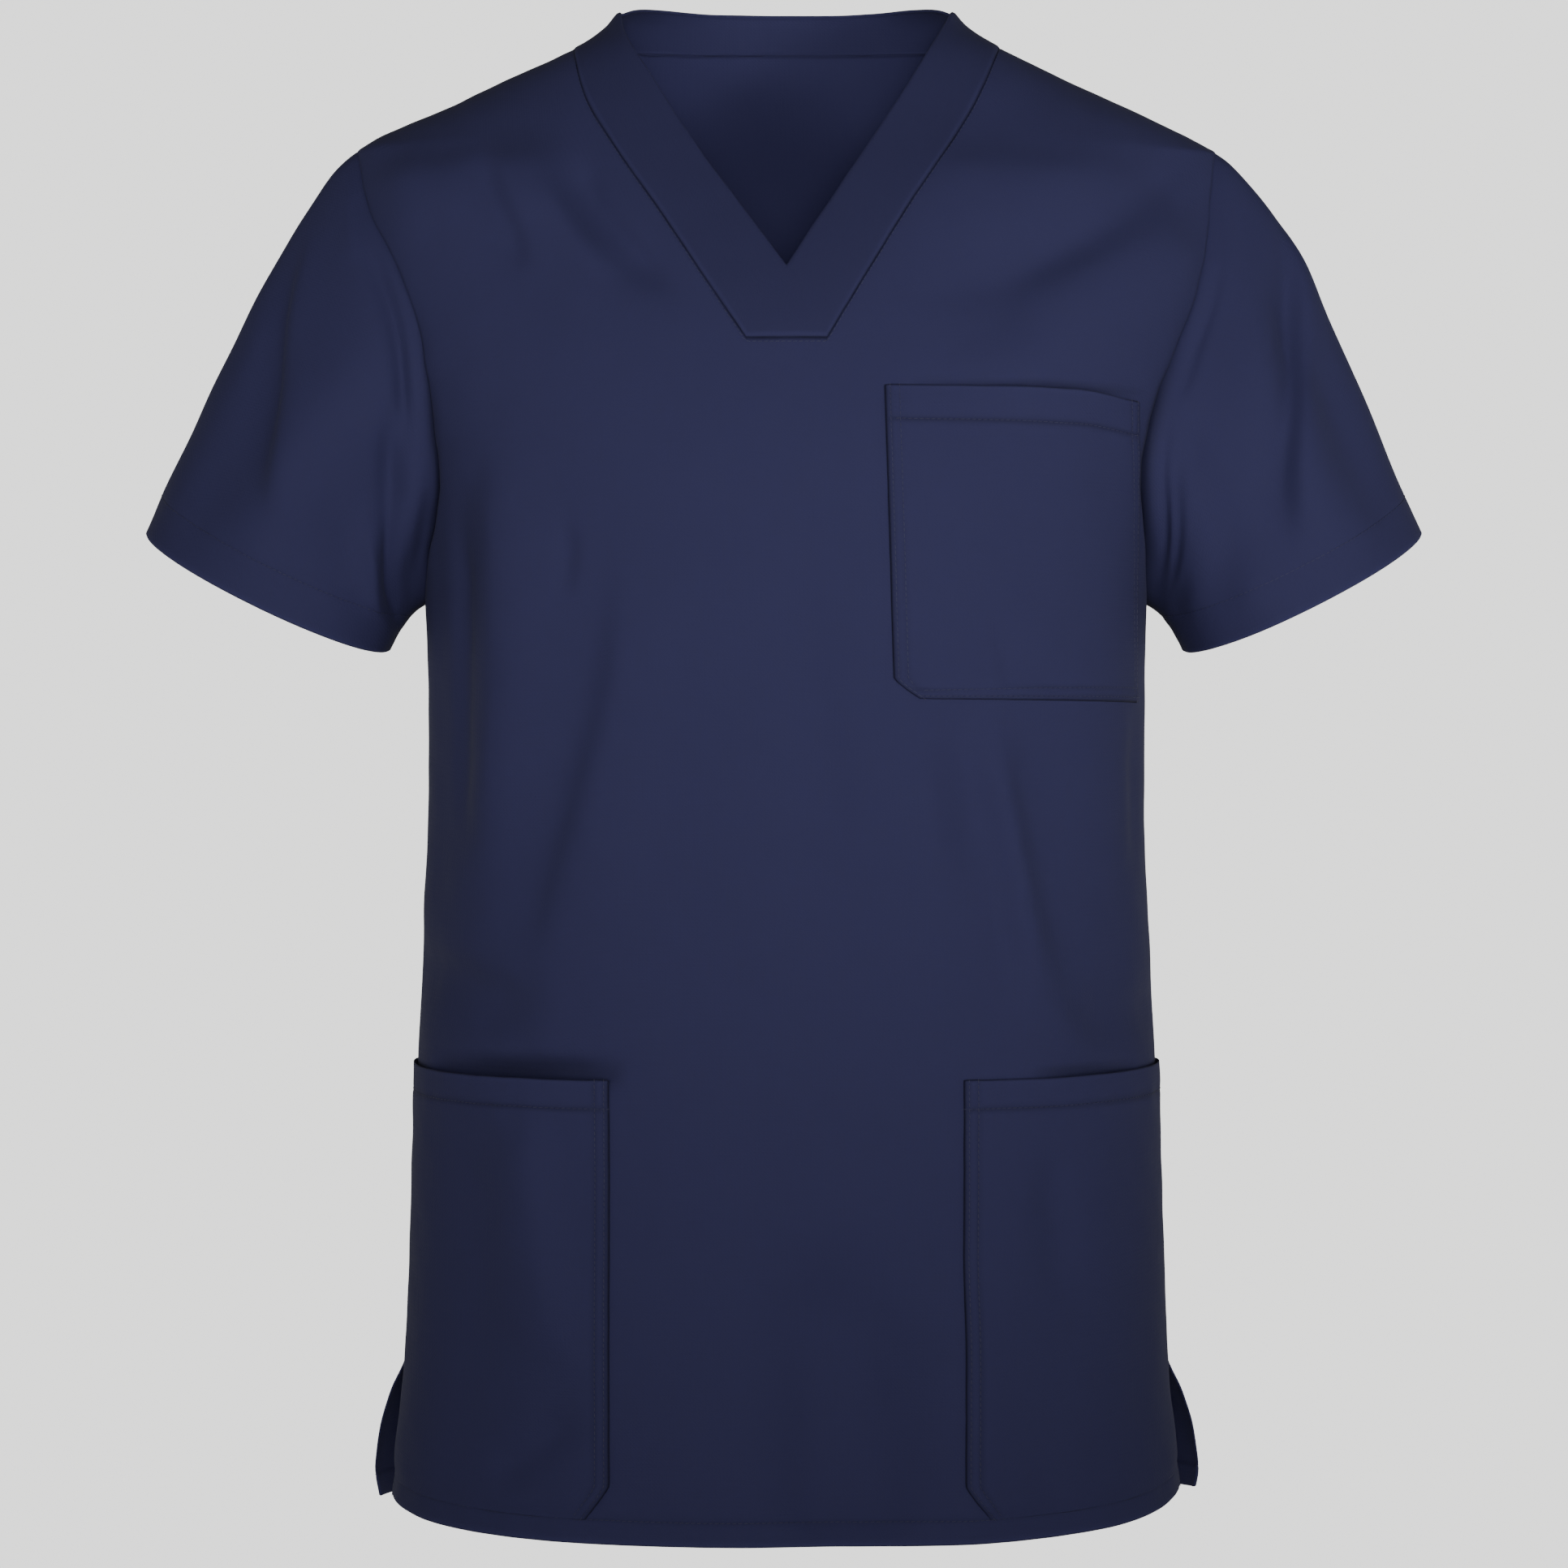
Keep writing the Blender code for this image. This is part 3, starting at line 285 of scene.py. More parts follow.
# Marks beside an edge or a line of stitching: how deep or how strong, and half its width.
MARKS = {
    "seam_lip": (0.0004, 0.0009), "band_lip": (0.0006, 0.0009), "band_roll": (0.0005, 0.0010),
    "hem_valley": (0.00022, 0.0013), "cuff_valley": (0.0002, 0.0013),
    "pocket_hem_valley": (0.00036, 0.0013), "pocket_line_valley": (0.00026, 0.0010),
    "pocket_edge_sunk": (0.00045, 0.0008),
    # the _shade marks are painted shade, drawn into the cloth's colour
    "hem_shade": (0.22, 0.0012), "side_shade": (1.0, 0.0011), "front_neck_shade": (0.9, 0.0011),
    "back_neck_shade": (0.3, 0.0011), "armpit_shade": (0.9, 0.0026),
    "front_band_shade": (0.9, 0.0006), "back_band_shade": (0.3, 0.0006),
    "pocket_hem_shade": (0.5, 0.0013), "mouth_edge_shade": (0.55, 0.0007),
    "pocket_line_shade": (0.3, 0.0008), "pocket_edge_shade": (1.0, 0.0009),
    "hem_wear": (0.35, 0.0012), "band_edge_wear": (0.3, 0.0013), "band_seam_wear": (0.35, 0.0008),
}
PAINTED_BAND_SHADE = 0.20           # painted shade: the whole band is drawn a little darker, as light falls off towards the top
BAND_LIFT, BAND_CROWN = 0.0005, 0.0004
SEAM_FOLLOW = 0.0055        # how far from its seam a sleeve still follows the armhole
TUCK_BACK, TUCK_UNDER = 0.0014, 0.0009
PAINTED_INSIDE_LIGHT = 0.55           # painted light: the inside faces are drawn paler, as if lit

# Small uneven waves beside stitching: how far they reach from it, their pace along it, height.
PUCKERS = {row.name: row for row in table("name reach pace height seed", [
    ("hem", 7, 19, 0.32, 21), ("panel_top", 6, 16, 0.22, 31), ("armhole", 6, 21, 0.4, 25),
    ("band_seam", 7, 19, 0.25, 41), ("band_edge", 8, 26, 0.28, 51), ("pocket_hem", 7, 17, 0.28, 0),
    ("pocket_edge", 6, 16, 0.22, 1), ("cuff", 7, 19, 0.28, 85), ("sleeve_seam", 9, 22, 0.30, 87),
], plain=("name", "seed"))}

# Soft waves all over the body: height, size, how much they are drawn out up and down, seed.
SOFT_WAVES = ((0.0005, 0.055, 0.6, 3), (0.00018, 0.021, 1.0, 13))
# Depth at the shoulder and at the armpit: how far the cloth sinks at the armhole seam, and how
# deep the painted shade beside the seams is.
ARMHOLE_SINK, SEAM_DARK = (0.0005, 0.0026), (0.18, 0.70)


# ================================================================ curves and waves
class Curve:
    """A smooth curve through one column of a table, by height. It never overshoots its rows."""

    def __init__(self, rows, column):
        self.keys = np.array([row.height for row in rows])
        self.values = np.array([getattr(row, column) for row in rows])
        steps = np.diff(self.keys)
        rates = np.diff(self.values) / steps
        self.slopes = np.concatenate([rates[:1], np.zeros(len(rates) - 1), rates[-1:]])
        for i in range(1, len(rates)):
            if rates[i - 1] * rates[i] > 0.0:
                a, b = 2 * steps[i] + steps[i - 1], steps[i] + 2 * steps[i - 1]
                self.slopes[i] = (a + b) / (a / rates[i - 1] + b / rates[i])

    def __call__(self, height):
        height = np.asarray(height, float)
        i = np.clip(np.searchsorted(self.keys, height, side="right") - 1, 0, len(self.keys) - 2)
        span, values, slopes = self.keys[i + 1] - self.keys[i], self.values, self.slopes
        part = (height - self.keys[i]) / span
        inside = hermite(part, values[i], span * slopes[i], values[i + 1], span * slopes[i + 1])
        before = values[i] + slopes[i] * (height - self.keys[i])
        after = values[i + 1] + slopes[i + 1] * (height - self.keys[i + 1])
        return np.where(part < 0, before, np.where(part > 1, after, inside))


def hermite(t, start, leave, end, arrive):
    """A cubic way from start to end, with how it leaves and arrives."""
    square, cube = t * t, t ** 3
    return ((2 * cube - 3 * square + 1) * start + (cube - 2 * square + t) * leave
            + (3 * square - 2 * cube) * end + (cube - square) * arrive)


def curves(rows):
    return {name: Curve(rows, name) for name in rows[0]._fields[1:]}


HALF_WIDTH, FRONT_DEPTH, BACK_DEPTH, SQUARE = curves(SECTIONS).values()
ARMHOLE_AT, SIDE_RISE_AT = curves(ARMHOLE), curves(SIDE_RISE)
NECK_SEAM_AT, NECK_EDGE_AT = curves(NECK_SEAM), curves(NECK_EDGE)
FLARE_AT = Curve(VENT_FLARE, "half_width")


def side_name(side):
    return "left" if side > 0 else "right"


def of_side(columns, side, back):
    """The curve for one side of the front or back."""
    where = "back" if back else "front"
    return columns.get(where) or columns[where + "_" + side_name(side)]


def ease(part):
    """0 to 1 with a soft start and end."""
    part = np.clip(part, 0.0, 1.0)
    return part * part * (3.0 - 2.0 * part)


def mix(a, b, part):
    return a + (b - a) * part


def bell(distance, width):
    return np.exp(-(distance / width) ** 2)


def arch(part):
    """0 at both ends of a part and 1 at its middle."""
    return np.sin(math.pi * np.clip(part, 0.0, 1.0))


def mark(name, distance):
    amount, width = MARKS[name]
    return amount * bell(distance, width)


def most(*amounts):
    """The greatest of several amounts at each point."""
    return np.maximum.reduce(np.broadcast_arrays(*amounts))


def waves(u, v, size, seed):
    """Soft uneven waves, about -1 to 1, whose crests lie about a size apart."""
    dice = np.random.default_rng(seed)
    total = np.zeros(np.broadcast(u, v).shape)
    for _ in range(7):
        turn, phase = dice.uniform(0, 2 * math.pi, 2)
        pace = 2 * math.pi / (size * dice.uniform(0.75, 1.6))
        total += np.sin((u * math.cos(turn) + v * math.sin(turn)) * pace + phase)
    return total / 3.2


def pucker(name, distance, along, turn=0):
    """Small uneven waves across a line of stitching, dying out away from it."""
    kind = PUCKERS[name]
    wobble = waves(along, along * 0.0, kind.pace, kind.seed + turn)
    return kind.height * wobble * np.exp(-np.abs(distance) / kind.reach)


def unit(vectors):
    length = np.linalg.norm(vectors, axis=-1, keepdims=True)
    return vectors / np.maximum(length, 1e-12)


# ================================================================ the form
def form(angle, height):
    """Points of the smooth form."""
    power = 2.0 / SQUARE(height)
    across, forward = (np.sign(v) * np.abs(v) ** power for v in (np.sin(angle), np.cos(angle)))
    depth = np.where(forward > 0, FRONT_DEPTH(height), BACK_DEPTH(height))
    x = HALF_WIDTH(height) * across
    turn = ease((math.pi - np.abs(angle) - FLARE_START) / (math.pi / 2 - FLARE_START))
    flare = np.where((height < VENT_TOP) & (forward <= 0), FLARE_AT(height) * turn, 0.0)
    return np.stack([x + np.sign(x) * flare, -depth * forward, height], axis=-1)


def girth_of(points, front):
    """Signed length across the cloth from the middle of the front or back."""
    depth = np.where(front, FRONT_DEPTH(points[..., 2]), BACK_DEPTH(points[..., 2]))
    return np.copysign(np.hypot(points[..., 0], depth - np.abs(points[..., 1])), points[..., 0])


def girth_at(x, height, front):
    """The same for a half width and a height."""
    depth, power = (FRONT_DEPTH if front else BACK_DEPTH)(height), SQUARE(height)
    reach = np.clip(abs(x) / HALF_WIDTH(height), 0.0, 1.0)
    return np.copysign(np.hypot(x, depth * (1.0 - (1.0 - reach ** power) ** (1.0 / power))), x)


def fold_relief(girth, height, folds):
    total = np.zeros(girth.shape)
    for fold in folds:
        run = np.array((fold.girth_b - fold.girth_a, fold.height_b - fold.height_a))
        across, up = girth - fold.girth_a, height - fold.height_a
        part = (across * run[0] + up * run[1]) / run.dot(run)
        off = np.hypot(across - run[0] * part, up - run[1] * part)
        fade = ease((part + 0.35) / 0.5) * ease((1.35 - part) / 0.5)
        total += fold.rise * fade * bell(off, fold.half_width)
    return total


def bent_line(points, steps=5):
    """A smooth line through points, as more points."""
    points = np.array(points, float)
    ends = np.concatenate([2 * points[:1] - points[1:2], points, 2 * points[-1:] - points[-2:-1]])
    t = np.linspace(0.0, 1.0, steps + 1)[:-1, None]
    line = [hermite(t, b, (c - a) / 2, c, (d - b) / 2)
            for a, b, c, d in zip(ends, ends[1:], ends[2:], ends[3:])]
    return np.concatenate(line + [points[-1:]])


def line_relief(u, v, points, crease):
    """Relief beside a smooth line through points, fading out towards its ends."""
    line = bent_line(points)
    reach = 2.6 * max(crease.width_a, crease.width_b)
    low, high = line.min(axis=0) - reach, line.max(axis=0) + reach
    near = (u > low[0]) & (u < high[0]) & (v > low[1]) & (v < high[1])
    relief = np.zeros(u.shape)
    if not near.any():
        return relief
    pu, pv = u[near], v[near]
    level = abs(line[-1, 0] - line[0, 0]) > abs(line[-1, 1] - line[0, 1])
    runs = np.diff(line, axis=0)
    way = np.concatenate([[0.0], np.cumsum(np.linalg.norm(runs, axis=1))])
    best = np.full(pu.shape, np.inf)
    signed, along = np.zeros(pu.shape), np.zeros(pu.shape)
    for i, (du, dv) in enumerate(runs):
        to_u, to_v = pu - line[i, 0], pv - line[i, 1]
        part = np.clip((to_u * du + to_v * dv) / (du * du + dv * dv), 0, 1)
        off_u, off_v = to_u - du * part, to_v - dv * part
        off = np.hypot(off_u, off_v)
        closer = off < best
        best = np.where(closer, off, best)
        signed = np.where(closer, -off_v if level else off_u, signed)
        along = np.where(closer, mix(way[i], way[i + 1], part) / way[-1], along)
    # the width changes over from one side to the other without a step
    turn = 0.5 + 0.5 * np.tanh(signed / (0.35 * min(crease.width_a, crease.width_b)))
    fade = ease(along / 0.3) * ease((1.0 - along) / 0.3)
    relief[near] = crease.rise * fade * bell(best, mix(crease.width_a, crease.width_b, turn))
    return relief


def body_relief(angle, height):
    """How far the cloth of the body stands over the form."""
    points = form(angle, height)
    front = np.cos(angle) > 0
    girth, total = girth_of(points, front), np.zeros(angle.shape)
    for folds, creases, on_front in ((FRONT_FOLDS, FRONT_CREASES, True),
                                     (BACK_FOLDS, BACK_CREASES, False)):
        here = front == on_front
        if not here.any():
            continue
        g, z = girth[here], height[here]
        fine = sum(rise * waves(g, z * drawn, size, seed + on_front)
                   for rise, size, drawn, seed in SOFT_WAVES)
        for crease in creases:
            points = [(float(girth_at(x, h, on_front)), h) for x, h in crease.points]
            fine += line_relief(g, z, points, crease)
        cosine = np.abs(np.cos(angle[here]))
        total[here] = fold_relief(g, z, folds) * ease(cosine / 0.35) + fine * ease(cosine / 0.12)
    return total


def body(angle, height):
    """Points of the body's cloth: the form with its folds and creases."""
    turn, rise = 2e-3, 4e-4
    out = unit(np.cross(form(angle + turn, height) - form(angle - turn, height),
                        form(angle, height + rise) - form(angle, height - rise)))
    return form(angle, height) + out * body_relief(angle, height)[..., None]


def angle_at(half_width, height, back=False):
    reach = np.clip(half_width / HALF_WIDTH(height), 0.0, 1.0)
    angle = np.arcsin(reach ** (SQUARE(height) / 2.0))
    return math.pi - angle if back else angle


def side_rise(angle, height, side, back):
    turn = (math.pi - angle if back else angle) / (math.pi / 2)
    rise = of_side(SIDE_RISE_AT, side, back)(height)
    return np.maximum(rise, 0.0) * np.clip(turn, 0, 2) ** SIDE_RISE_POWER


def side_angle(height, side, back):
    """Angle of a panel's outer edge at each level: vent, side seam or armhole."""
    down = np.clip((VENT_TOP - height) / (VENT_TOP - HEM), 0.0, 1.0)
    short = VENT_SPREAD * down ** 0.7
    armhole = angle_at(of_side(ARMHOLE_AT, side, back)(height), height, back)
    return np.where(height <= ARMPIT + 1e-6, math.pi / 2 + (short if back else -short), armhole)


# ================================================================ lattices
def crowd(part):
    return 1.0 - (1.0 - part) ** 1.4


def level_rows():
    """Heights of the level rows, closer together at the hem's stitching."""
    values = [*np.arange(HEM, CHEST_POCKET_TOP, CELL), CHEST_POCKET_TOP, HEM + 0.0008,
              HEM_LINE - 0.0014, HEM_LINE, HEM_LINE + 0.0014, VENT_TOP, ARMPIT, HIP_POCKET_TOP]
    return np.unique(np.round(values, 6))


class PanelRuler:
    """The columns of half a panel: inner ones that end at the neck, and outer ones."""

    def __init__(self, back):
        self.back = back
        self.inner = np.concatenate([np.linspace(0.0, NECK_FOOT_HALF, 8),
                                     np.linspace(NECK_FOOT_HALF, SIDE_TURN, 37)[1:]])
        close = 1 - np.array([0.004, 0.009, 0.015, 0.034])
        self.outer = np.unique(np.round([*np.linspace(0.0, 1.0, 43)[1:], *close], 6))

    def tops(self, side):
        """Half width and height where each inner column ends."""
        if self.back:
            reach = self.inner / SIDE_TURN
            return NECK_SEAM_TOP[0] * reach, NECK_SEAM_TOP[1] * reach ** 4
        part = np.clip((self.inner - NECK_FOOT_HALF) / (SIDE_TURN - NECK_FOOT_HALF), 0, 1)
        height = mix(NECK_SEAM[0].height, NECK_SEAM[-1].height, crowd(part))
        seam = NECK_SEAM_AT[side_name(side)](height)
        return np.where(self.inner <= NECK_FOOT_HALF, self.inner, seam), height

    def level_angles(self, height, side):
        inner = angle_at(self.inner[None, :], height[:, None], self.back)
        edge = side_angle(height, side, self.back)[:, None]
        return np.concatenate([inner, mix(inner[:, -1:], edge, self.outer[None, :])], axis=1)

    def fan(self, parts, side):
        """Angles and heights of the rows that fan out to the neck and shoulder."""
        part = parts[:, None]
        angles = self.level_angles(np.array([CHEST_POCKET_TOP]), side)[0]
        power = 2.0 / SQUARE(CHEST_POCKET_TOP)
        start = HALF_WIDTH(CHEST_POCKET_TOP) * np.abs(np.sin(angles)) ** power
        neck_width, neck_height = self.tops(side)
        shoulder_height = mix(NECK_SEAM_TOP[1], SHOULDER_POINT[1], self.outer)
        end = np.concatenate([neck_width, HALF_WIDTH(shoulder_height)])
        height = mix(CHEST_POCKET_TOP, np.concatenate([neck_height, shoulder_height]), part)
        share = np.concatenate([np.zeros(len(self.inner)), self.outer])
        armhole = of_side(ARMHOLE_AT, side, self.back)
        bend = (armhole(mix(CHEST_POCKET_TOP, SHOULDER_POINT[1], part))
                - mix(armhole(CHEST_POCKET_TOP), SHOULDER_POINT[0], part))
        angle = angle_at(mix(start, end, part) + bend * share ** 2, height, self.back)
        at_seam = (part >= 1.0) & (np.arange(len(share)) >= len(self.inner) - 1)
        return np.where(at_seam, math.pi / 2, angle), height


def both_sides(half, back):
    """Points of a whole piece on the body, from the angles and heights of half of it."""
    sides = []
    for right, left in zip(half(-1), half(1)):
        sides.append([right[:, ::-1], left[:, 1:]])
    sides[0][0] = -sides[0][0]
    angle, height = (np.concatenate(side, axis=1) for side in sides)
    return body(angle[:, ::-1], height[:, ::-1]) if back else body(angle, height)


# ================================================================ cloth shells
class Cloth:
    """A lattice of points on the outer face of a piece, with outward directions.

    Rows go up and columns go towards the wearer's left on the front, and the other way on the
    back, so that every face looks outwards. A wrapped cloth is a tube: its columns close up.
    """

    def __init__(self, points, wrapped=False, flip=False):
        self.points, self.wrapped, self.flip = points, wrapped, flip
        # wear pales the colour, and shade is painted shade drawn into the colour
        self.wear = self.shade = np.zeros(points.shape[:2])
        self.settle()

    def settle(self):
        """Find the outward directions anew."""
        if self.wrapped:
            around = np.roll(self.points, -1, axis=1) - np.roll(self.points, 1, axis=1)
        else:
            around = np.gradient(self.points, axis=1)
        normals = unit(np.cross(around, np.gradient(self.points, axis=0)))
        self.normals = -normals if self.flip else normals

    def lift(self, amount):
        """Move the cloth out by an amount at each point."""
        self.points = self.points + self.normals * amount[..., None]

    def edge_distance(self, edge):
        """Length along the lattice from each point to one edge: bottom, top, first or last."""
        axis = 0 if edge in ("bottom", "top") else 1
        way = np.cumsum(np.linalg.norm(np.diff(self.points, axis=axis), axis=-1), axis=axis)
        way = np.concatenate([np.zeros_like(way.take([0], axis)), way], axis=axis)
        return way if edge in ("bottom", "first") else way.take([-1], axis) - way

    def across(self):
        """Length across the cloth from its middle column."""
        way = self.edge_distance("first")
        middle = way.shape[1] // 2
        return way - way[:, middle:middle + 1]

    def line_from_edge(self, edge, distance, start=0.0, end=1.0):
        """Points and directions on a line at a distance from an edge."""
        way, both = self.edge_distance(edge), np.concatenate([self.points, self.normals], axis=-1)
        if edge in ("bottom", "top"):
            way, both = way.T, both.swapaxes(0, 1)
        if edge in ("top", "last"):
            way, both = way[:, ::-1], both[:, ::-1]
        last = way.shape[0] - 1
        line = []
        for i in range(int(round(start * last)), int(round(end * last)) + 1):
            j = int(np.clip(np.searchsorted(way[i], distance) - 1, 0, way.shape[1] - 2))
            part = (distance - way[i, j]) / max(way[i, j + 1] - way[i, j], 1e-9)
            line.append(mix(both[i, j], both[i, j + 1], part))
        line = np.array(line + line[:1] if self.wrapped else line)
        return line[:, :3], unit(line[:, 3:])


def shell(name, cloth, thickness, material, rim=0.45):
    """A closed shell under a cloth's face, with rounded rims, as one mesh object."""
    rows, columns = cloth.points.shape[:2]
    thickness = np.broadcast_to(np.asarray(thickness, float), (rows, columns))
    outer = cloth.points.reshape(-1, 3)
    inner = (cloth.points - cloth.normals * thickness[..., None]).reshape(-1, 3)
    count = rows * columns
    index = np.arange(count).reshape(rows, columns)
    if cloth.wrapped:
        loops = [index[0], index[-1, ::-1]]
        index = np.concatenate([index, index[:, :1]], axis=1)
    else:
        loops = [np.concatenate([index[0, :-1], index[:-1, -1], index[-1, :0:-1],
                                 index[:0:-1, 0]])]
    quads = np.stack([index[:-1, :-1], index[:-1, 1:], index[1:, 1:], index[1:, :-1]],
                     axis=-1).reshape(-1, 4)
    if cloth.flip:
        quads, loops = quads[:, ::-1], [loop[::-1] for loop in loops]
    points, faces = [outer, inner], [quads, quads[:, ::-1] + count]
    source, free = [np.arange(count)] * 2, 2 * count
    for loop in loops:
        row, column = np.divmod(loop, columns)
        beside = cloth.points[np.clip(row, 1, rows - 2),
                              column if cloth.wrapped else np.clip(column, 1, columns - 2)]
        points.append((outer[loop] + inner[loop]) / 2
                      + unit(outer[loop] - beside) * (thickness[row, column] * rim)[:, None])
        ids = np.arange(free, free + len(loop))
        after, next_ids = np.roll(loop, -1), np.roll(ids, -1)
        faces += [np.stack([after, loop, ids, next_ids], axis=1),
                  np.stack([next_ids, ids, loop + count, after + count], axis=1)]
        source.append(loop)
        free += len(loop)
    source = np.concatenate(source)
    flat = np.stack([cloth.across().ravel(), cloth.edge_distance("bottom").ravel()], axis=1)
    wear = cloth.wear.ravel()[source]
    # painted light: the inside layer is drawn paler, as if lit; the outer layer keeps its wear
    wear[count:2 * count] = np.maximum(wear[count:2 * count], PAINTED_INSIDE_LIGHT)
    return mesh_object(name, np.concatenate(points), np.concatenate(faces), material,
                       flat[source], {"edge_wear": wear, "seam_shade": cloth.shade.ravel()[source]})


def mesh_object(name, points, faces, material, flat, values):
    mesh = bpy.data.meshes.new(name)
    mesh.vertices.add(len(points))
    mesh.vertices.foreach_set("co", np.asarray(points, np.float32).ravel())
    mesh.loops.add(faces.size)
    mesh.loops.foreach_set("vertex_index", faces.astype(np.int32).ravel())
    mesh.polygons.add(len(faces))
    mesh.polygons.foreach_set("loop_start", np.arange(0, faces.size, 4, dtype=np.int32))
    mesh.update(calc_edges=True)
    layer = mesh.uv_layers.new(name="flat_cloth")
    layer.data.foreach_set("uv", np.asarray(flat, np.float32)[faces.ravel()].ravel())
    for label, value in values.items():
        layer = mesh.attributes.new(label, "FLOAT", "POINT")
        layer.data.foreach_set("value", np.asarray(value, np.float32))
    mesh.validate()
    mesh.shade_smooth()
    mesh.materials.append(material)
    return add_object(name, mesh)


def add_object(name, data):
    thing = bpy.data.objects.new(name, data)
    bpy.context.scene.collection.objects.link(thing)
    return thing


SEWN = {}       # finished cloths by name, for the pieces and stitches that lie on them


def make_piece(name, cloth, thickness):
    """The piece rides on the body and stands for its solid."""
    thing = shell(name + "_cloth", cloth, thickness, navy_poplin())
    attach(thing, BODY)
    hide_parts(name)
    SEWN[name] = cloth


# ================================================================ materials
def linear(code):
    """An sRGB hex colour as linear red, green and blue."""
    values = [int(code[i:i + 2], 16) / 255.0 for i in (1, 3, 5)]
    return tuple(v / 12.92 if v <= 0.04045 else ((v + 0.055) / 1.055) ** 2.4 for v in values)


def tinted(base, factor):
    return tuple(min(v * factor, 1.0) for v in base)


def add_node(tree, kind, links=None, **settings):
    """Add a node. links gives its inputs, each a value or a socket to link from."""
    node = tree.nodes.new(kind)
    for name, value in settings.items():
        setattr(node, name, value)
    for name, source in (links or {}).items():
        if isinstance(source, bpy.types.NodeSocket):
            tree.links.new(source, node.inputs[name])
        else:
            node.inputs[name].default_value = source
    return node


def maths(tree, operation, a, b=0.0):
    return add_node(tree, "ShaderNodeMath", {0: a, 1: b}, operation=operation).outputs[0]


def blend(tree, factor, a, b):
    """A mix of two colours, each a socket or red, green and blue."""
    a, b = (c if isinstance(c, bpy.types.NodeSocket) else (*c, 1.0) for c in (a, b))
    return add_node(tree, "ShaderNodeMix", {0: factor, 6: a, 7: b}, data_type="RGBA").outputs[2]


def noise(tree, scale, detail, vector=None):
    """A noise, over the object's own coordinates unless a vector is given."""
    if vector is None:
        vector = add_node(tree, "ShaderNodeTexCoord").outputs["Object"]
    node = add_node(tree, "ShaderNodeTexNoise",
                    {"Vector": vector, "Scale": scale, "Detail": detail})
    return node.outputs["Factor" if "Factor" in node.outputs else "Fac"]


def bump(tree, height, strength, distance, **normal):
    return add_node(tree, "ShaderNodeBump", {"Height": height, "Strength": strength,
                                             "Distance": distance, **normal}).outputs["Normal"]


def new_material(name, base, values):
    """A material with its node tree and shader, some of whose inputs are set."""
    material = bpy.data.materials.new(name)
    material.use_nodes = True
    material.diffuse_color = (*base, 1.0)
    shader = material.node_tree.nodes["Principled BSDF"]
    for label, value in values.items():
        shader.inputs[label].default_value = value
    return material, material.node_tree, shader


DEEP, PALE = 0.86, 1.14     # how far the dye's depth varies
WORN_AND_LIT_TONE, PAINTED_SHADE_TONE = 1.55, 0.42  # tone of rubbed edges and of the inside painted paler as if lit, and of painted shade
SLUB_SHARE, CLOUD_SHARE = 0.32, 0.20
SLUB_STRETCHES = ((900.0, 60.0, 1.0), (60.0, 1100.0, 1.0))
CLOUD_SCALE = 22.0          # the dye takes unevenly over some centimetres


def navy_poplin():
    """Poplin of polyester and cotton, plain-woven and piece-dyed navy. It is matt with a faint
    sheen from the polyester, its yarns are slightly uneven in thickness and depth of colour, and
    it goes paler where hems and edges rub."""
    name = "poplin_navy"
    if name in bpy.data.materials:
        return bpy.data.materials[name]
    sizes, colours = settings()
    base = linear(colours.cloth)
    material, tree, shader = new_material(name, base, {
        "Metallic": 0.0, "IOR": 1.50, "Specular IOR Level": 0.14, "Sheen Weight": 0.02,
        "Sheen Roughness": 0.5})
    flat = add_node(tree, "ShaderNodeUVMap", uv_map="flat_cloth").outputs["UV"]
    split = add_node(tree, "ShaderNodeSeparateXYZ", {"Vector": flat})
    # Real yarns lie about 0.3 mm apart; they are drawn coarser, so that they show at all.
    pace = math.pi / sizes.yarn_spacing
    weave = maths(tree, "MULTIPLY", *(
        maths(tree, "SINE", maths(tree, "MULTIPLY", split.outputs[axis], pace)) for axis in "XY"))
    # Slubs: long thin yarns a little thicker or paler than their neighbours, both ways.
    runs = [add_node(tree, "ShaderNodeMapping", {"Vector": flat, "Scale": stretch})
            for stretch in SLUB_STRETCHES]
    slub = maths(tree, "ADD", *(noise(tree, 1.0, 1.0, run.outputs["Vector"]) for run in runs))
    tone = maths(tree, "ADD", maths(tree, "MULTIPLY", slub, SLUB_SHARE),
                 maths(tree, "MULTIPLY", noise(tree, CLOUD_SCALE, 3.0), CLOUD_SHARE))
    colour = blend(tree, tone, tinted(base, DEEP), tinted(base, PALE))
    # Edges are rubbed paler, and the inside is painted paler as if lit; painted shade darkens the
    # cloth beside seams, stitching and pocket mouths, and over the band.
    for layer, factor in (("edge_wear", WORN_AND_LIT_TONE), ("seam_shade", PAINTED_SHADE_TONE)):
        amount = add_node(tree, "ShaderNodeAttribute", attribute_name=layer)
        colour = blend(tree, amount.outputs["Fac"], colour, tinted(base, factor))
    tree.links.new(colour, shader.inputs["Base Color"])
    rough = add_node(tree, "ShaderNodeMapRange", {"Value": slub, "From Min": 0.6, "From Max": 1.4,
                                                  "To Min": 0.74, "To Max": 0.88})
    tree.links.new(rough.outputs["Result"], shader.inputs["Roughness"])
    normal = bump(tree, slub, 0.35, 0.0003, Normal=bump(tree, weave, 0.25, 0.0001))
    tree.links.new(normal, shader.inputs["Normal"])
    return material


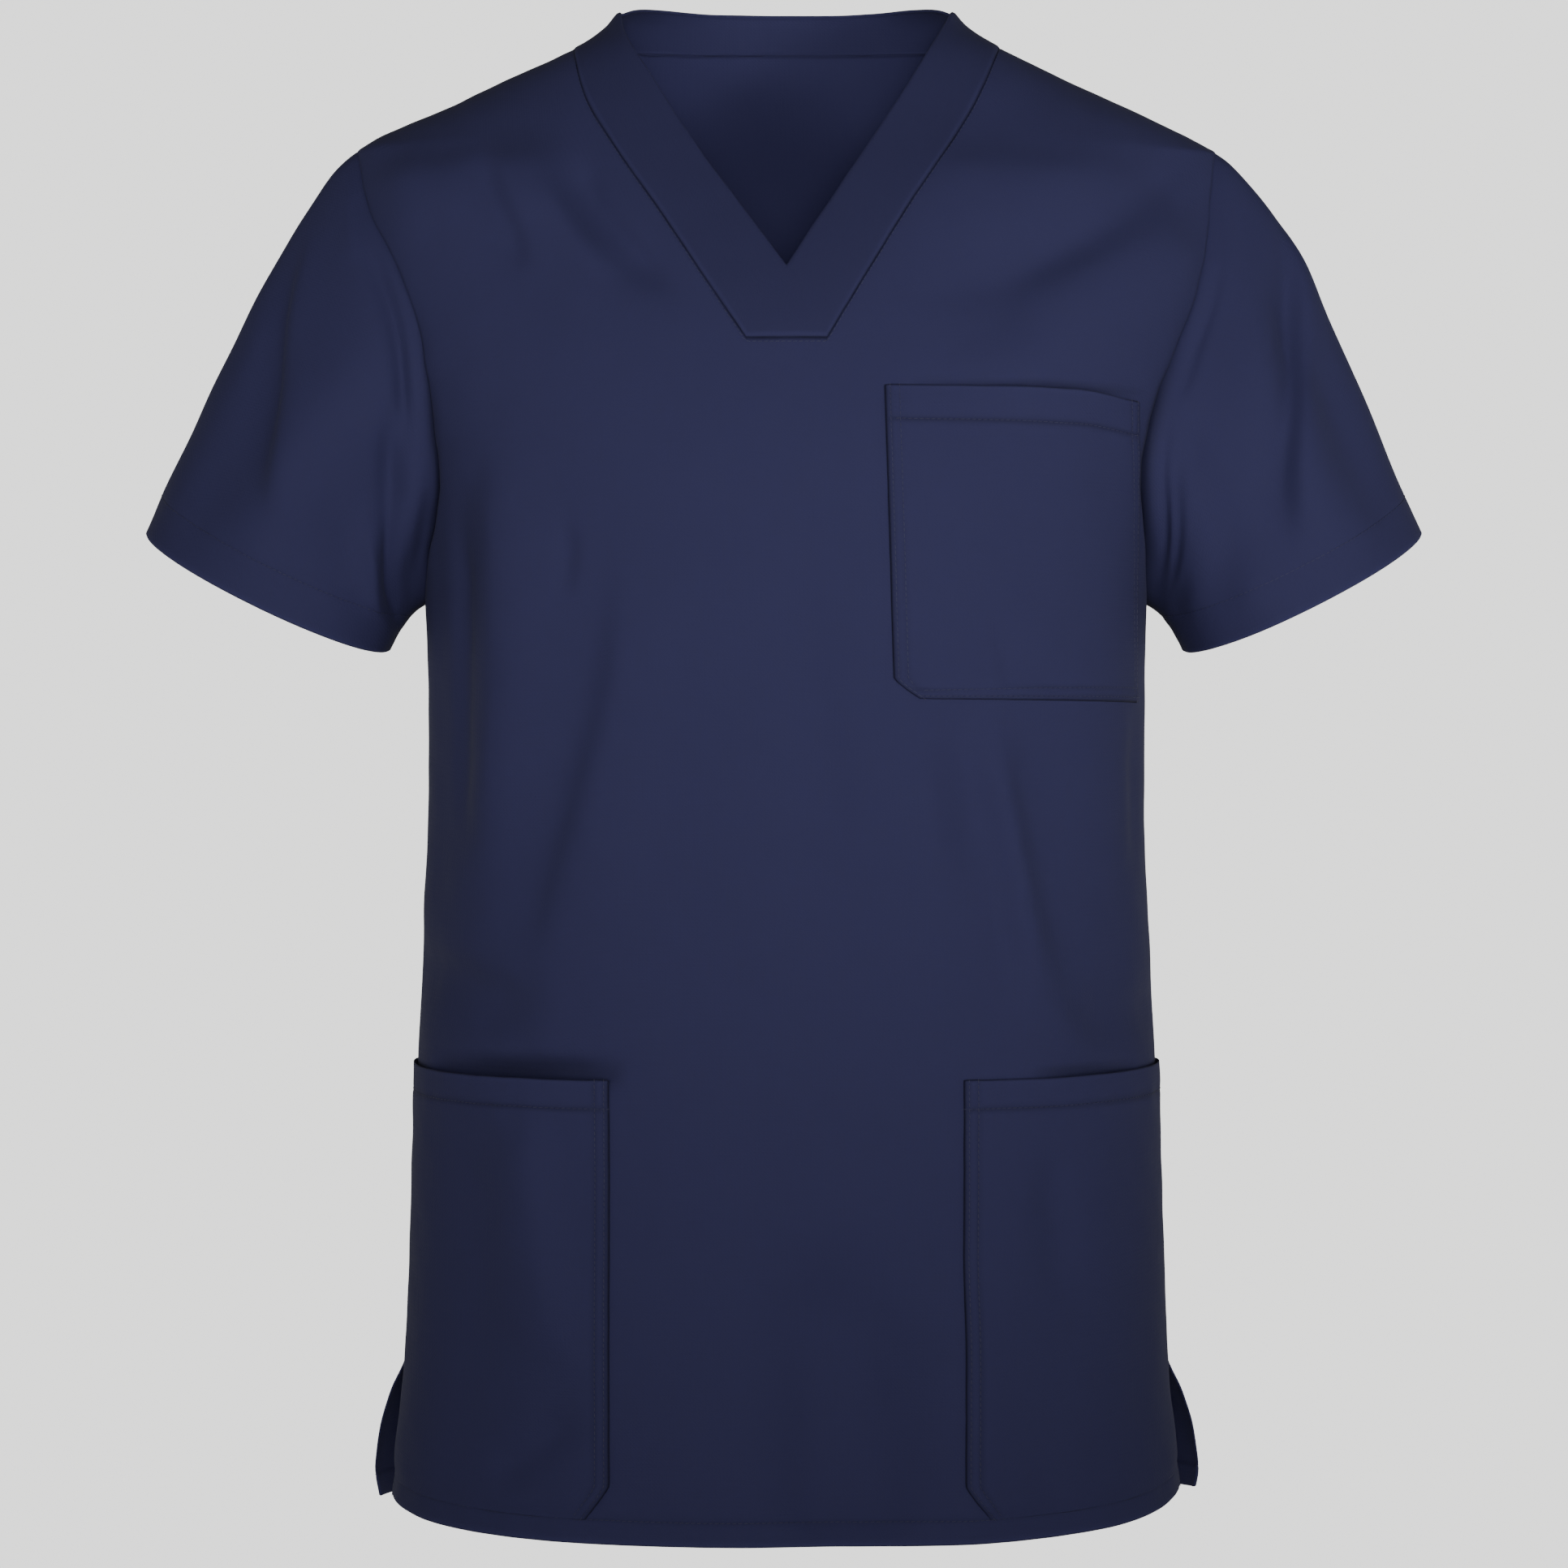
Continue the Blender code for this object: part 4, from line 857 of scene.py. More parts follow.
def sewing_thread():
    """Spun polyester sewing thread, dyed to match. It is smoother than the cloth, so it catches
    a little more light."""
    base = linear(settings()[1].thread)
    material, tree, shader = new_material("spun_polyester_thread_navy", base,
                                          {"Roughness": 0.55, "IOR": 1.54})
    # The twist of the thread repeats about every 0.6 mm.
    colour = blend(tree, noise(tree, 1600.0, 1.0), tinted(base, 0.75), tinted(base, 1.25))
    tree.links.new(colour, shader.inputs["Base Color"])
    return material


# ================================================================ user settings
def length(name, description, default, low, high):
    return bpy.props.FloatProperty(name=name, description=description, default=default, min=low,
                                   max=high, precision=4, unit="LENGTH", subtype="DISTANCE")


def hex_colour(name, description, default):
    return bpy.props.StringProperty(name=name, description=description, default=default)


class ScrubSizes(bpy.types.PropertyGroup):
    """Sizes of the cloth and its sewing."""
    cloth: length("Cloth", "Thickness of the single cloth as drawn", 0.0008, 0.0004, 0.0014)
    hem: length("Hem", "Thickness of the turned hems", 0.0016, 0.0008, 0.0022)
    band: length("Neckband", "Thickness of the doubled neckband", 0.0014, 0.0008, 0.0022)
    yarn_spacing: length("Yarn spacing", "Distance between the drawn yarns of the weave", 0.0010,
                         0.0003, 0.003)
    stitch_pitch: length("Stitch pitch", "Distance between topstitches", 0.0028, 0.0015, 0.006)
    stitch_length: length("Stitch length", "Length of one topstitch", 0.0023, 0.001, 0.005)
    thread: length("Thread", "Width of the sewing thread", 0.0004, 0.0002, 0.001)
    inset: length("Inset", "Distance of edge stitching from its edge", 0.0022, 0.001, 0.006)


class ScrubColours(bpy.types.PropertyGroup):
    """Colours as sRGB hex codes."""
    cloth: hex_colour("Cloth", "Dyed colour of the poplin", "#2F2F51")
    thread: hex_colour("Thread", "Colour of the sewing thread", "#262643")
    floor: hex_colour("Floor", "Colour of the studio floor", "#DCDCDB")
    ground: hex_colour("Ground", "Colour of the studio behind the top", "#D6D6D5")


def settings():
    scene = bpy.context.scene
    return scene.scrub_sizes, scene.scrub_colours


# ================================================================ body panels
class SCRUB_OT_body_panels(bpy.types.Operator):
    """Make the front and the back of the top"""
    bl_idname = "scrub.body_panels"
    bl_label = "Body panels"

    def execute(self, context):
        for back, name in enumerate(PANELS):
            cloth = panel_cloth(bool(back))
            make_piece(name, cloth, hemmed(cloth, "bottom", HEM_TURN))
        return {"FINISHED"}


def hemmed(cloth, edge, depth):
    """Thickness of a cloth whose hem is turned in twice."""
    sizes = settings()[0]
    return mix(sizes.cloth, sizes.hem, ease((depth - cloth.edge_distance(edge)) / 0.0015))


def sink_edges(cloth, name, *edges):
    """Draw the cloth in along its seams, as stitching does."""
    cloth.lift(-most(*(mark(name, cloth.edge_distance(edge)) for edge in edges)))


def panel_cloth(back):
    """A body panel with its seams, hem and puckers."""
    ruler, levels = PanelRuler(back), level_rows()
    parts = np.unique([*np.sin(math.pi / 2 * np.linspace(0.0, 1.0, 53)[1:]), 0.9975])

    def half(side):
        angle = ruler.level_angles(levels, side)
        height = levels[:, None] + side_rise(angle, levels[:, None], side, back)
        return [np.concatenate(both) for both in zip((angle, height), ruler.fan(parts, side))]

    cloth = Cloth(both_sides(half, back))
    low, top, across = cloth.edge_distance("bottom"), cloth.edge_distance("top"), cloth.across()
    height = cloth.points[..., 2]
    hem_off = low - (HEM_LINE - HEM)
    amount = pucker("hem", hem_off, across, back) - mark("hem_valley", hem_off)
    amount += pucker("panel_top", top, across, back) * (top < 0.03)
    at_armhole = ease((height - ARMPIT + 0.006) / 0.012)
    for edge in ("first", "last"):
        distance = cloth.edge_distance(edge)
        amount += at_armhole * (pucker("armhole", distance, height, back)
                                - armhole_valley(distance, height))
    if not back:
        amount += mouth_dip(cloth)
    cloth.lift(amount)
    sink_edges(cloth, "seam_lip", "first", "last", "top")
    cloth.settle()
    cloth.wear = mark("hem_wear", low)
    # painted shade beside the side, armhole and neck seams and the hem stitching, above the pocket
    # mouths, and in the gap under the arm
    seam = np.minimum(cloth.edge_distance("first"), cloth.edge_distance("last"))
    neck = mark("back_neck_shade" if back else "front_neck_shade", top)
    cloth.shade = most(seam_shade_depth(height) * mark("side_shade", seam), neck,
                       mark("hem_shade", hem_off))
    if not back:
        armpit = mark("armpit_shade", cloth.edge_distance("last")) * at_armhole
        cloth.shade = most(cloth.shade, mouth_shade(cloth),
                           armpit * ease((-0.150 - height) / 0.040))
    return cloth


def armhole_valley(distance, height):
    """How far the cloth sinks towards the armhole seam: more and more down to the armpit."""
    return mix(*ARMHOLE_SINK, ease((-0.170 - height) / 0.075)) * bell(distance, 0.0050)


def seam_shade_depth(height):
    """How deep the painted shade at the armhole and side seams is: hardly on the shoulder, more
    below.
    """
    return mix(*SEAM_DARK, ease((-0.130 - height) / 0.090)) * (height > VENT_TOP)


def mouth_dip(cloth):
    """The panel stands back behind the open mouths of the pockets."""
    x, z = cloth.points[..., 0], cloth.points[..., 2]
    return -sum(mouth.depth * arch((x - mouth.start) / (mouth.end - mouth.start)) ** 0.8
                * bell(z - mouth.height, 0.0065) for mouth in MOUTHS)


def mouth_shade(cloth):
    """Painted shade just above each mouth, where the panel runs down behind the pocket."""
    x, z = cloth.points[..., 0], cloth.points[..., 2]
    return most(*(0.8 * arch((x - mouth.start) / (mouth.end - mouth.start)) ** 0.6
                  * bell(z - mouth.height, 0.0012 + 0.55 * mouth.depth) for mouth in MOUTHS))


# ================================================================ neckband
class SCRUB_OT_neckband(bpy.types.Operator):
    """Make the neckband, front and back"""
    bl_idname = "scrub.neckband"
    bl_label = "Neckband"

    def execute(self, context):
        for name, back in (("front_neckband", False), ("back_neckband", True)):
            make_piece(name, band_cloth(back), settings()[0].band)
        return {"FINISHED"}


def neck_edge(inner, side, back):
    """Half width and height of the band's free edge beside each column."""
    if back:
        part = inner / SIDE_TURN
        drop = (BACK_EDGE_HEIGHT - NECK_EDGE_TOP[1]) * part ** 9
        return NECK_EDGE_TOP[0] * part, BACK_EDGE_HEIGHT - drop
    foot, top = NECK_EDGE[0].height, NECK_EDGE[-1].height
    start = mix(foot, top, 0.018)
    share = np.clip((inner - NECK_FOOT_HALF) / (SIDE_TURN - NECK_FOOT_HALF), 0, 1)
    height = np.where(inner <= NECK_FOOT_HALF,
                      mix(foot, start, np.clip(inner / NECK_FOOT_HALF, 0.0, 1.0)),
                      mix(start, top, crowd(share)))
    return NECK_EDGE_AT[side_name(side)](height), height


def band_cloth(back):
    """Half of the neckband, from its seam to its free edge, which is a fold, rolled in."""
    ruler = PanelRuler(back)
    rows = [0, 0.0005, 0.0011, 0.0019, 0.0030, 0.0044,
            *np.arange(0.006, BAND_WIDTH - 0.003, FINE_CELL),
            BAND_WIDTH - 0.0022, BAND_WIDTH - 0.0014, BAND_WIDTH - 0.0007, BAND_WIDTH]
    part = np.array(rows)[:, None] / BAND_WIDTH

    def half(side):
        (seam_width, seam_height), (edge_width, edge_height) = (
            ruler.tops(side), neck_edge(ruler.inner, side, back))
        seam_angle = angle_at(seam_width, seam_height, back)
        edge_angle = angle_at(edge_width, edge_height, back)
        seam_angle[-1] = edge_angle[-1] = math.pi / 2
        return mix(seam_angle, edge_angle, part), mix(seam_height, edge_height, part)

    cloth = Cloth(both_sides(half, back))
    seam, free, across = cloth.edge_distance("bottom"), cloth.edge_distance("top"), cloth.across()
    cloth.lift(BAND_LIFT + BAND_CROWN * arch(part) ** 0.6 + pucker("band_seam", seam, across, back)
               + pucker("band_edge", free, across, back))
    sink_edges(cloth, "band_lip", "bottom")
    sink_edges(cloth, "seam_lip", "first", "last")
    cloth.lift(-mark("band_roll", free))
    cloth.settle()
    cloth.wear = mark("band_edge_wear", free) + mark("band_seam_wear", seam - 0.0016)
    # painted shade all over the band, and darker beside its seam
    cloth.shade = most(PAINTED_BAND_SHADE, mark("back_band_shade" if back else "front_band_shade", seam))
    return cloth


# ================================================================ pockets
class SCRUB_OT_pockets(bpy.types.Operator):
    """Make the chest pocket and the two hip pockets"""
    bl_idname = "scrub.pockets"
    bl_label = "Patch pockets"

    def execute(self, context):
        for name, cloth, edges in (
                ("chest_pocket", chest_pocket_cloth(), ("first", "bottom", "last")),
                ("hip_pocket_left", hip_pocket_cloth(1), ("first", "bottom")),
                ("hip_pocket_right", hip_pocket_cloth(-1), ("last", "bottom"))):
            make_piece(name, cloth, patch_thickness(cloth, edges))
        return {"FINISHED"}


def pocket_rows(foot, top):
    near = np.array([0.0005, 0.0010, 0.0016, 0.0024])
    return np.unique(np.round([*np.arange(foot, top, FINE_CELL), top, *(foot + near),
                               *(top - near)], 6))


def pocket_cloth(rows, inner_width, outer_angle, side, lift, droop=0.0):
    """A pocket's cloth between its inner and outer edge, lifted off the panel."""
    close = np.array([0.0005, 0.0011, 0.0019, 0.0030]) / 0.13
    columns = np.unique(np.round([*np.linspace(0, 1, 64), *close, *(1 - close)], 5))
    angle = mix(angle_at(inner_width, rows)[:, None], outer_angle[:, None], columns)
    level = (rows - rows[0])[:, None] / (rows[-1] - rows[0])
    height = (rows[:, None] + side_rise(angle, rows[:, None], side, False)
              - droop * level ** 2 * ease((columns - 0.62) / 0.38))
    if side < 0:
        angle, height = -angle[:, ::-1], height[:, ::-1]
    cloth = Cloth(body(angle, height))
    cloth.lift(PATCH_LIFT + lift(cloth))
    cloth.settle()
    return cloth


def cut_corner(rows, height):
    """How far a pocket's inner edge is cut back at its foot."""
    return CORNER_DEPTH * np.clip(1.0 - (rows - rows[0]) / height, 0.0, 1.0) ** 1.15


def mouth_lift(cloth, amount, reach, middle, half):
    """A pocket's mouth stands open, most at the middle share of its width."""
    across = np.linspace(0, 1, cloth.points.shape[1])
    return amount * bell(cloth.edge_distance("top"), reach) * (
        bell(across - middle, half) * arch(across) ** 0.7)


def chest_pocket_cloth():
    rows = pocket_rows(CHEST_POCKET_FOOT, CHEST_POCKET_TOP)
    lean = CHEST_POCKET_LEAN * (1.0 - 2.0 * (rows - rows[0]) / (rows[-1] - rows[0]))
    cloth = pocket_cloth(rows, CHEST_POCKET_EDGE + lean + cut_corner(rows, CHEST_CORNER_HEIGHT),
                         angle_at(CHEST_POCKET_OUTER, rows), 1,
                         lambda cloth: mouth_lift(cloth, *CHEST_MOUTH), CHEST_POCKET_DROOP)
    return dress_pocket(cloth, CHEST_POCKET_HEM, ("first", "bottom", "last"),
                        CHEST_POCKET_CREASES, 61)


def hip_pocket_cloth(side):
    rows = pocket_rows(HEM_LINE, HIP_POCKET_TOP)
    inner, outer = ("first", "last") if side > 0 else ("last", "first")

    def lift(cloth):
        return (mouth_lift(cloth, *HIP_MOUTH[side])
                - 0.0015 * bell(cloth.edge_distance(outer), 0.007)
                - 0.0013 * bell(cloth.edge_distance("bottom"), 0.005))

    cloth = pocket_cloth(rows, HIP_POCKET_EDGE + cut_corner(rows, HIP_CORNER_HEIGHT),
                         side_angle(rows, side, False) - HIP_POCKET_SHORT, side, lift)
    return dress_pocket(cloth, HIP_POCKET_HEM, (inner,), (), 71 + side)


def dress_pocket(cloth, hem_depth, sewn_edges, creases, seed):
    """Turned top hem, sewn edges with their two lines of stitching, creases and puckers."""
    top, across = cloth.edge_distance("top"), cloth.across()
    x, z = cloth.points[..., 0], cloth.points[..., 2]
    hem_off = top - hem_depth
    amount = pucker("pocket_hem", hem_off, across, seed) - mark("pocket_hem_valley", hem_off)
    # painted shade under the hem stitching, at the mouth's edge, and along the sewn edges and their
    # stitching
    shades = [mark("pocket_hem_shade", hem_off), mark("mouth_edge_shade", top)]
    for edge in sewn_edges:
        distance = cloth.edge_distance(edge)
        amount += pucker("pocket_edge", distance, across if edge == "bottom" else z, seed)
        amount -= mark("pocket_edge_sunk", distance)
        shades.append(mark("pocket_edge_shade", distance))
        for line in (settings()[0].inset, SECOND_LINE):
            amount -= mark("pocket_line_valley", distance - line)
            shades.append(mark("pocket_line_shade", distance - line))
    for crease in creases:
        amount += line_relief(x, z, crease.points, crease)
    cloth.lift(amount)
    cloth.settle()
    cloth.wear, cloth.shade = mark("hem_wear", top), most(*shades)
    return cloth


def patch_thickness(cloth, edges):
    """One layer, two at the turned edges, and little where a pocket runs into the side seam."""
    turned = np.minimum.reduce([cloth.edge_distance(edge) for edge in edges])
    thickness = mix(settings()[0].cloth, PATCH_LIFT - 0.0002, ease((0.0095 - turned) / 0.002))
    for edge in {"first", "last"} - set(edges):
        seam = bell(cloth.edge_distance(edge), 0.006)
        thickness = np.minimum(thickness, 0.0003 + 0.0014 * (1.0 - seam))
    return thickness


# ================================================================ sleeves
class SCRUB_OT_sleeves(bpy.types.Operator):
    """Make the two short sleeves"""
    bl_idname = "scrub.sleeves"
    bl_label = "Sleeves"

    def execute(self, context):
        for side in (1, -1):
            cloth = sleeve_cloth(side)
            make_piece("sleeve_" + side_name(side), cloth, hemmed(cloth, "top", CUFF_HEM + 0.001))
        return {"FINISHED"}


def armhole_ring(side, count=66):
    """Points round an armhole, down its front and up its back, evenly along each: on the smooth
    body, and on the finished edges of the panels."""
    height = mix(SHOULDER_POINT[1], ARMPIT, np.linspace(0.0, 1.0, 160))
    smooth, sewn = [], []
    for back, panel in enumerate(PANELS):
        angle = angle_at(of_side(ARMHOLE_AT, side, back)(height), height, back)
        angle[0] = angle[-1] = math.pi / 2
        smooth.append(evenly(body(angle * side, height), count))
        edge = SEWN[panel].points[:, 0 if (side > 0) == back else -1]
        sewn.append(evenly(edge[edge[:, 2] > ARMPIT - 1e-5][::-1], count))
    for front, rear in (smooth, sewn):
        for end in (0, -1):
            front[end] = rear[end] = (front[end] + rear[end]) / 2
    return [np.concatenate([front[:-1], rear[:0:-1]]) for front, rear in (smooth, sewn)]


def evenly(points, count):
    """A line as points an even length apart."""
    way = np.concatenate([[0], np.cumsum(np.linalg.norm(np.diff(points, axis=0), axis=1))])
    even = np.linspace(0.0, way[-1], count + 1)
    return np.stack([np.interp(even, way, points[:, k]) for k in range(3)], axis=1)


def cuff_points(part, side):
    across, forward = np.cos(2.0 * math.pi * part), np.sin(2.0 * math.pi * part)
    reach = CUFF_HALF_WIDTH * across
    drop = np.where(forward > 0, CUFF_FRONT_DIP, CUFF_BACK_RISE) * forward
    x = CUFF_MIDDLE[0] + reach * math.cos(CUFF_TILT) + CUFF_OUT[side] * (0.5 + 0.5 * across)
    z = CUFF_MIDDLE[2] + reach * math.sin(CUFF_TILT) - drop
    return np.stack([x * side, CUFF_MIDDLE[1] - CUFF_HALF_DEPTH * forward, z], axis=-1)


def sleeve_cloth(side):
    """A sleeve with its seam, folds and cuff. Its rows run from the armhole to the cuff."""
    starts, sewn = armhole_ring(side)
    count = len(starts)
    around = np.arange(count) / count
    from_seam = np.array([0.0004, 0.0009, 0.0018, 0.0042]) / SLEEVE_LENGTH
    from_cuff = np.array([0.0008, CUFF_HEM - 0.0014, CUFF_HEM, CUFF_HEM + 0.0014]) / SLEEVE_LENGTH
    along = np.unique(np.round([*np.linspace(0, 1, 72), *from_seam, *(1 - from_cuff)], 6))
    ends = cuff_points(around, side)
    reach = np.linalg.norm(ends - starts, axis=1, keepdims=True)
    forward, top = np.sin(2 * math.pi * around), 0.5 + 0.5 * np.cos(2 * math.pi * around)

    def way(out, spread, down):
        return np.stack([np.full(count, side * out), -spread * forward, np.full(count, -down)],
                        axis=1)

    shoulder = way(math.cos(SHOULDER_FALL), SHOULDER_SPREAD, math.sin(SHOULDER_FALL))
    leave = unit(mix(way(*UNDER_WAY), shoulder, top[:, None])) * reach
    leave = leave * mix(UNDER_LEAVE, TOP_LEAVE[side], top)[:, None]
    arrive = way(math.sin(SLEEVE_FALL), 0.0, math.cos(SLEEVE_FALL)) * reach
    cloth = Cloth(hermite(along[:, None, None], starts, leave, ends, arrive), wrapped=True,
                  flip=side < 0)
    cloth.lift(sleeve_relief(cloth, around, along[:, None], side))
    # at the seam the sleeve follows the edge of the body, and its first row is tucked under it
    seam = cloth.edge_distance("bottom")
    cloth.points = cloth.points + (sewn - cloth.points[0]) * bell(seam, SEAM_FOLLOW)[..., None]
    cloth.settle()
    cloth.lift(-0.00025 * bell(seam, 0.0010))
    first = cloth.points[0]
    tucked = (first + unit(first - cloth.points[3]) * TUCK_BACK
              - cloth.normals[0] * TUCK_UNDER)
    cloth = Cloth(np.concatenate([tucked[None], cloth.points]), wrapped=True, flip=side < 0)
    cloth.wear = mark("hem_wear", cloth.edge_distance("top"))
    # painted shade beside the armhole seam, wider and deeper towards the armpit
    past = np.maximum(cloth.edge_distance("bottom") - 0.0016, 0.0)
    height = cloth.points[..., 2]
    low = ease((-0.150 - height) / 0.050)
    dark_reach = 0.0009 + (0.0042 if side > 0 else 0.0020) * low
    cloth.shade = (seam_shade_depth(height) + 0.15 * low) * bell(past, dark_reach)
    return cloth


def sleeve_relief(cloth, around, along, side):
    """Folds, creases, seam valley and cuff hem of a sleeve."""
    relief = np.zeros(cloth.points.shape[:2])
    for fold in SLEEVE_FOLDS[side]:
        off = around - mix(fold.round_a, fold.round_b, along)
        fade = ease((along - fold.start) / 0.3) * ease((fold.end - along) / 0.3)
        relief += fold.rise * fade * bell(off, fold.half_width)
    u, v = np.broadcast_arrays(around * SLEEVE_GIRTH, along * SLEEVE_LENGTH)
    for crease in SLEEVE_CREASES[side]:
        points = [(a * SLEEVE_GIRTH, b * SLEEVE_LENGTH) for a, b in crease.points]
        relief += line_relief(u, v, points, crease)
    turn = 2 * math.pi * around
    relief += 0.0005 * waves(np.cos(turn) * 0.06 + np.sin(turn) * 0.05, v, 0.05, 81 + side)
    # the sleeve is smooth at the armhole and along its underside
    relief *= ease(along / 0.12) * (1.0 - 0.85 * bell(around - 0.5, 0.075))
    hem_off, seam = cloth.edge_distance("top") - CUFF_HEM, cloth.edge_distance("bottom")
    return (relief - mark("cuff_valley", hem_off) + pucker("cuff", hem_off, u, side)
            + pucker("sleeve_seam", seam, u, side) * ease(seam / 0.002))


# ================================================================ topstitching
def stitch_tree(thread):
    """A node tree that lays stitches end to end along edges, facing out of the cloth."""
    tree = bpy.data.node_groups.new("topstitch_run", "GeometryNodeTree")
    sizes = settings()[0]

    def socket(name, kind, in_out="INPUT"):
        return tree.interface.new_socket(name, in_out=in_out, socket_type="NodeSocket" + kind)

    socket("Run", "Geometry")
    for label, value in (("Pitch", sizes.stitch_pitch), ("Stitch Length", sizes.stitch_length),
                         ("Thread Width", sizes.thread)):
        distance = socket(label, "Float")
        distance.default_value = value
        distance.subtype = "DISTANCE"
    socket("Seed", "Int").default_value = 7
    socket("Stitches", "Geometry", "OUTPUT")
    inputs = add_node(tree, "NodeGroupInput").outputs
    curve = add_node(tree, "GeometryNodeMeshToCurve", {"Mesh": inputs["Run"]})
    points = add_node(tree, "GeometryNodeCurveToPoints",
                      {"Curve": curve.outputs["Curve"], "Length": inputs["Pitch"]}, mode="LENGTH")
    facing = add_node(tree, "GeometryNodeInputNamedAttribute", {"Name": "facing"},
                      data_type="FLOAT_VECTOR")
    along = add_node(tree, "FunctionNodeAlignRotationToVector",
                     {"Vector": points.outputs["Tangent"]}, axis="X")
    upright = add_node(tree, "FunctionNodeAlignRotationToVector",
                       {"Rotation": along.outputs["Rotation"],
                        "Vector": facing.outputs["Attribute"]}, axis="Z", pivot_axis="X")
    uneven = add_node(tree, "FunctionNodeRandomValue",
                      {"Min": (0.90, 0.92, 0.90), "Max": (1.05, 1.08, 1.10),
                       "Seed": inputs["Seed"]}, data_type="FLOAT_VECTOR")
    ball = add_node(tree, "GeometryNodeMeshUVSphere", {"Segments": 6, "Rings": 5, "Radius": 0.5})
    # the sphere's poles are turned to its ends, so that a stitch tapers along the seam
    turned = add_node(tree, "GeometryNodeTransform",
                      {"Geometry": ball.outputs["Mesh"], "Rotation": (0.0, math.pi / 2, 0.0)})
    size = add_node(tree, "ShaderNodeCombineXYZ",
                    {"X": inputs["Stitch Length"], "Y": inputs["Thread Width"],
                     "Z": inputs["Thread Width"]})
    laid = add_node(tree, "GeometryNodeTransform",
                    {"Geometry": turned.outputs["Geometry"], "Scale": size.outputs["Vector"],
                     "Rotation": (0.0, 0.0, 0.06)})
    copies = add_node(tree, "GeometryNodeInstanceOnPoints",
                      {"Points": points.outputs["Points"], "Instance": laid.outputs["Geometry"],
                       "Rotation": upright.outputs["Rotation"], "Scale": uneven.outputs[0]})
    real = add_node(tree, "GeometryNodeRealizeInstances",
                    {"Geometry": copies.outputs["Instances"]})
    smooth = add_node(tree, "GeometryNodeSetShadeSmooth", {"Geometry": real.outputs["Geometry"]})
    final = add_node(tree, "GeometryNodeSetMaterial",
                     {"Geometry": smooth.outputs["Geometry"], "Material": thread})
    add_node(tree, "NodeGroupOutput", {"Stitches": final.outputs["Geometry"]})
    return tree


def seams():
    """Runs of topstitching: the stitches' name, the piece they are on, the edge they follow, their
    distance from it, and the shares along it where they start and end."""
    inset = settings()[0].inset
    rows, columns = SEWN["front_panel"].points.shape[:2]
    outer = len(PanelRuler(False).outer) / (columns - 1)
    vent = float(VENT_TOP - HEM) / (CHEST_POCKET_TOP - HEM) * (len(level_rows()) / rows)
    runs = [("hem", panel, "bottom", HEM_LINE - HEM, 0, 1) for panel in PANELS]
    runs += [("neck", panel, "top", inset, outer, 1 - outer) for panel in PANELS]
    runs += [("chest_pocket", "chest_pocket", *run) for run in (
        ("first", inset, 0, 1), ("first", SECOND_LINE, 0.10, 1), ("bottom", inset, 0.04, 0.97),
        ("bottom", SECOND_LINE, 0.10, 0.92), ("last", inset, 0, 1),
        ("last", SECOND_LINE, 0.06, 1), ("top", CHEST_POCKET_HEM, 0.08, 0.92))]
    for side, inner in (("left", "first"), ("right", "last")):
        runs += [("hip_pocket", "hip_pocket_" + side, *run) for run in (
            (inner, inset, 0, 1), (inner, SECOND_LINE, 0.04, 1), ("top", HIP_POCKET_HEM, 0, 1))]
        runs.append(("cuff", "sleeve_" + side, "top", CUFF_HEM, 0, 1))
    return runs + [("vent", panel, edge, VENT_LINE, 0, vent)
                   for panel in PANELS for edge in ("first", "last")]


class SCRUB_OT_topstitching(bpy.types.Operator):
    """Sew the topstitching along seams, hems and pockets"""
    bl_idname = "scrub.topstitching"
    bl_label = "Topstitching"

    def execute(self, context):
        tree = stitch_tree(sewing_thread())
        runs = seams()
        for name in sorted({run[0] for run in runs}):
            thing = stitched(name + "_stitches", tree, [
                SEWN[piece].line_from_edge(*way) for kind, piece, *way in runs if kind == name])
            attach(thing, BODY)
        return {"FINISHED"}


def stitched(name, tree, lines):
    """Stitches along lines, as a plain mesh object."""
    sizes = settings()[0]
    points, edges, facing = [], [], []
    for line, normals in lines:
        start = len(points)
        points += [tuple(p) for p in line + normals * sizes.thread * 0.20]
        facing += [tuple(n) for n in normals]
        edges += [(start + i, start + i + 1) for i in range(len(line) - 1)]
    mesh = bpy.data.meshes.new(name + "_run")
    mesh.from_pydata(points, edges, [])
    layer = mesh.attributes.new("facing", "FLOAT_VECTOR", "POINT")
    layer.data.foreach_set("vector", np.array(facing, np.float32).ravel())
    run = add_object(name + "_run", mesh)
    nodes = run.modifiers.new("stitches", "NODES")
    nodes.node_group = tree
    values = {"Pitch": sizes.stitch_pitch, "Stitch Length": sizes.stitch_length,
              "Thread Width": sizes.thread, "Seed": 7}
    for item in tree.interface.items_tree:
        if item.in_out == "INPUT" and item.name in values:
            nodes[item.identifier] = values[item.name]
    graph = bpy.context.evaluated_depsgraph_get()
    graph.update()
    result = bpy.data.meshes.new_from_object(run.evaluated_get(graph))
    result.name = name
    bpy.data.objects.remove(run)
    if not len(result.polygons):
        raise RuntimeError(name + ": the node tree laid no stitches")
    return add_object(name, result)


# ================================================================ studio
CAMERA_PLACE = (-0.0012, -2.25, -0.3776)
CAMERA_VIEW = 0.79212       # width of the view at the middle of the top
SENSOR = 36.0
FLOOR_HEIGHT = -1.45        # the floor that a wearer would stand on
FLOOR_RADIUS = 2.4
FLOOR_GLOW = 1.5            # the floor is seen as pale as if it were lit from all round
GROUND_SEEN = 2.63          # how bright the ground is seen
GROUND_LIGHT = 1.16         # how strongly the ground lights the cloth, low down and overhead
CEILING_LIGHT = 0.10

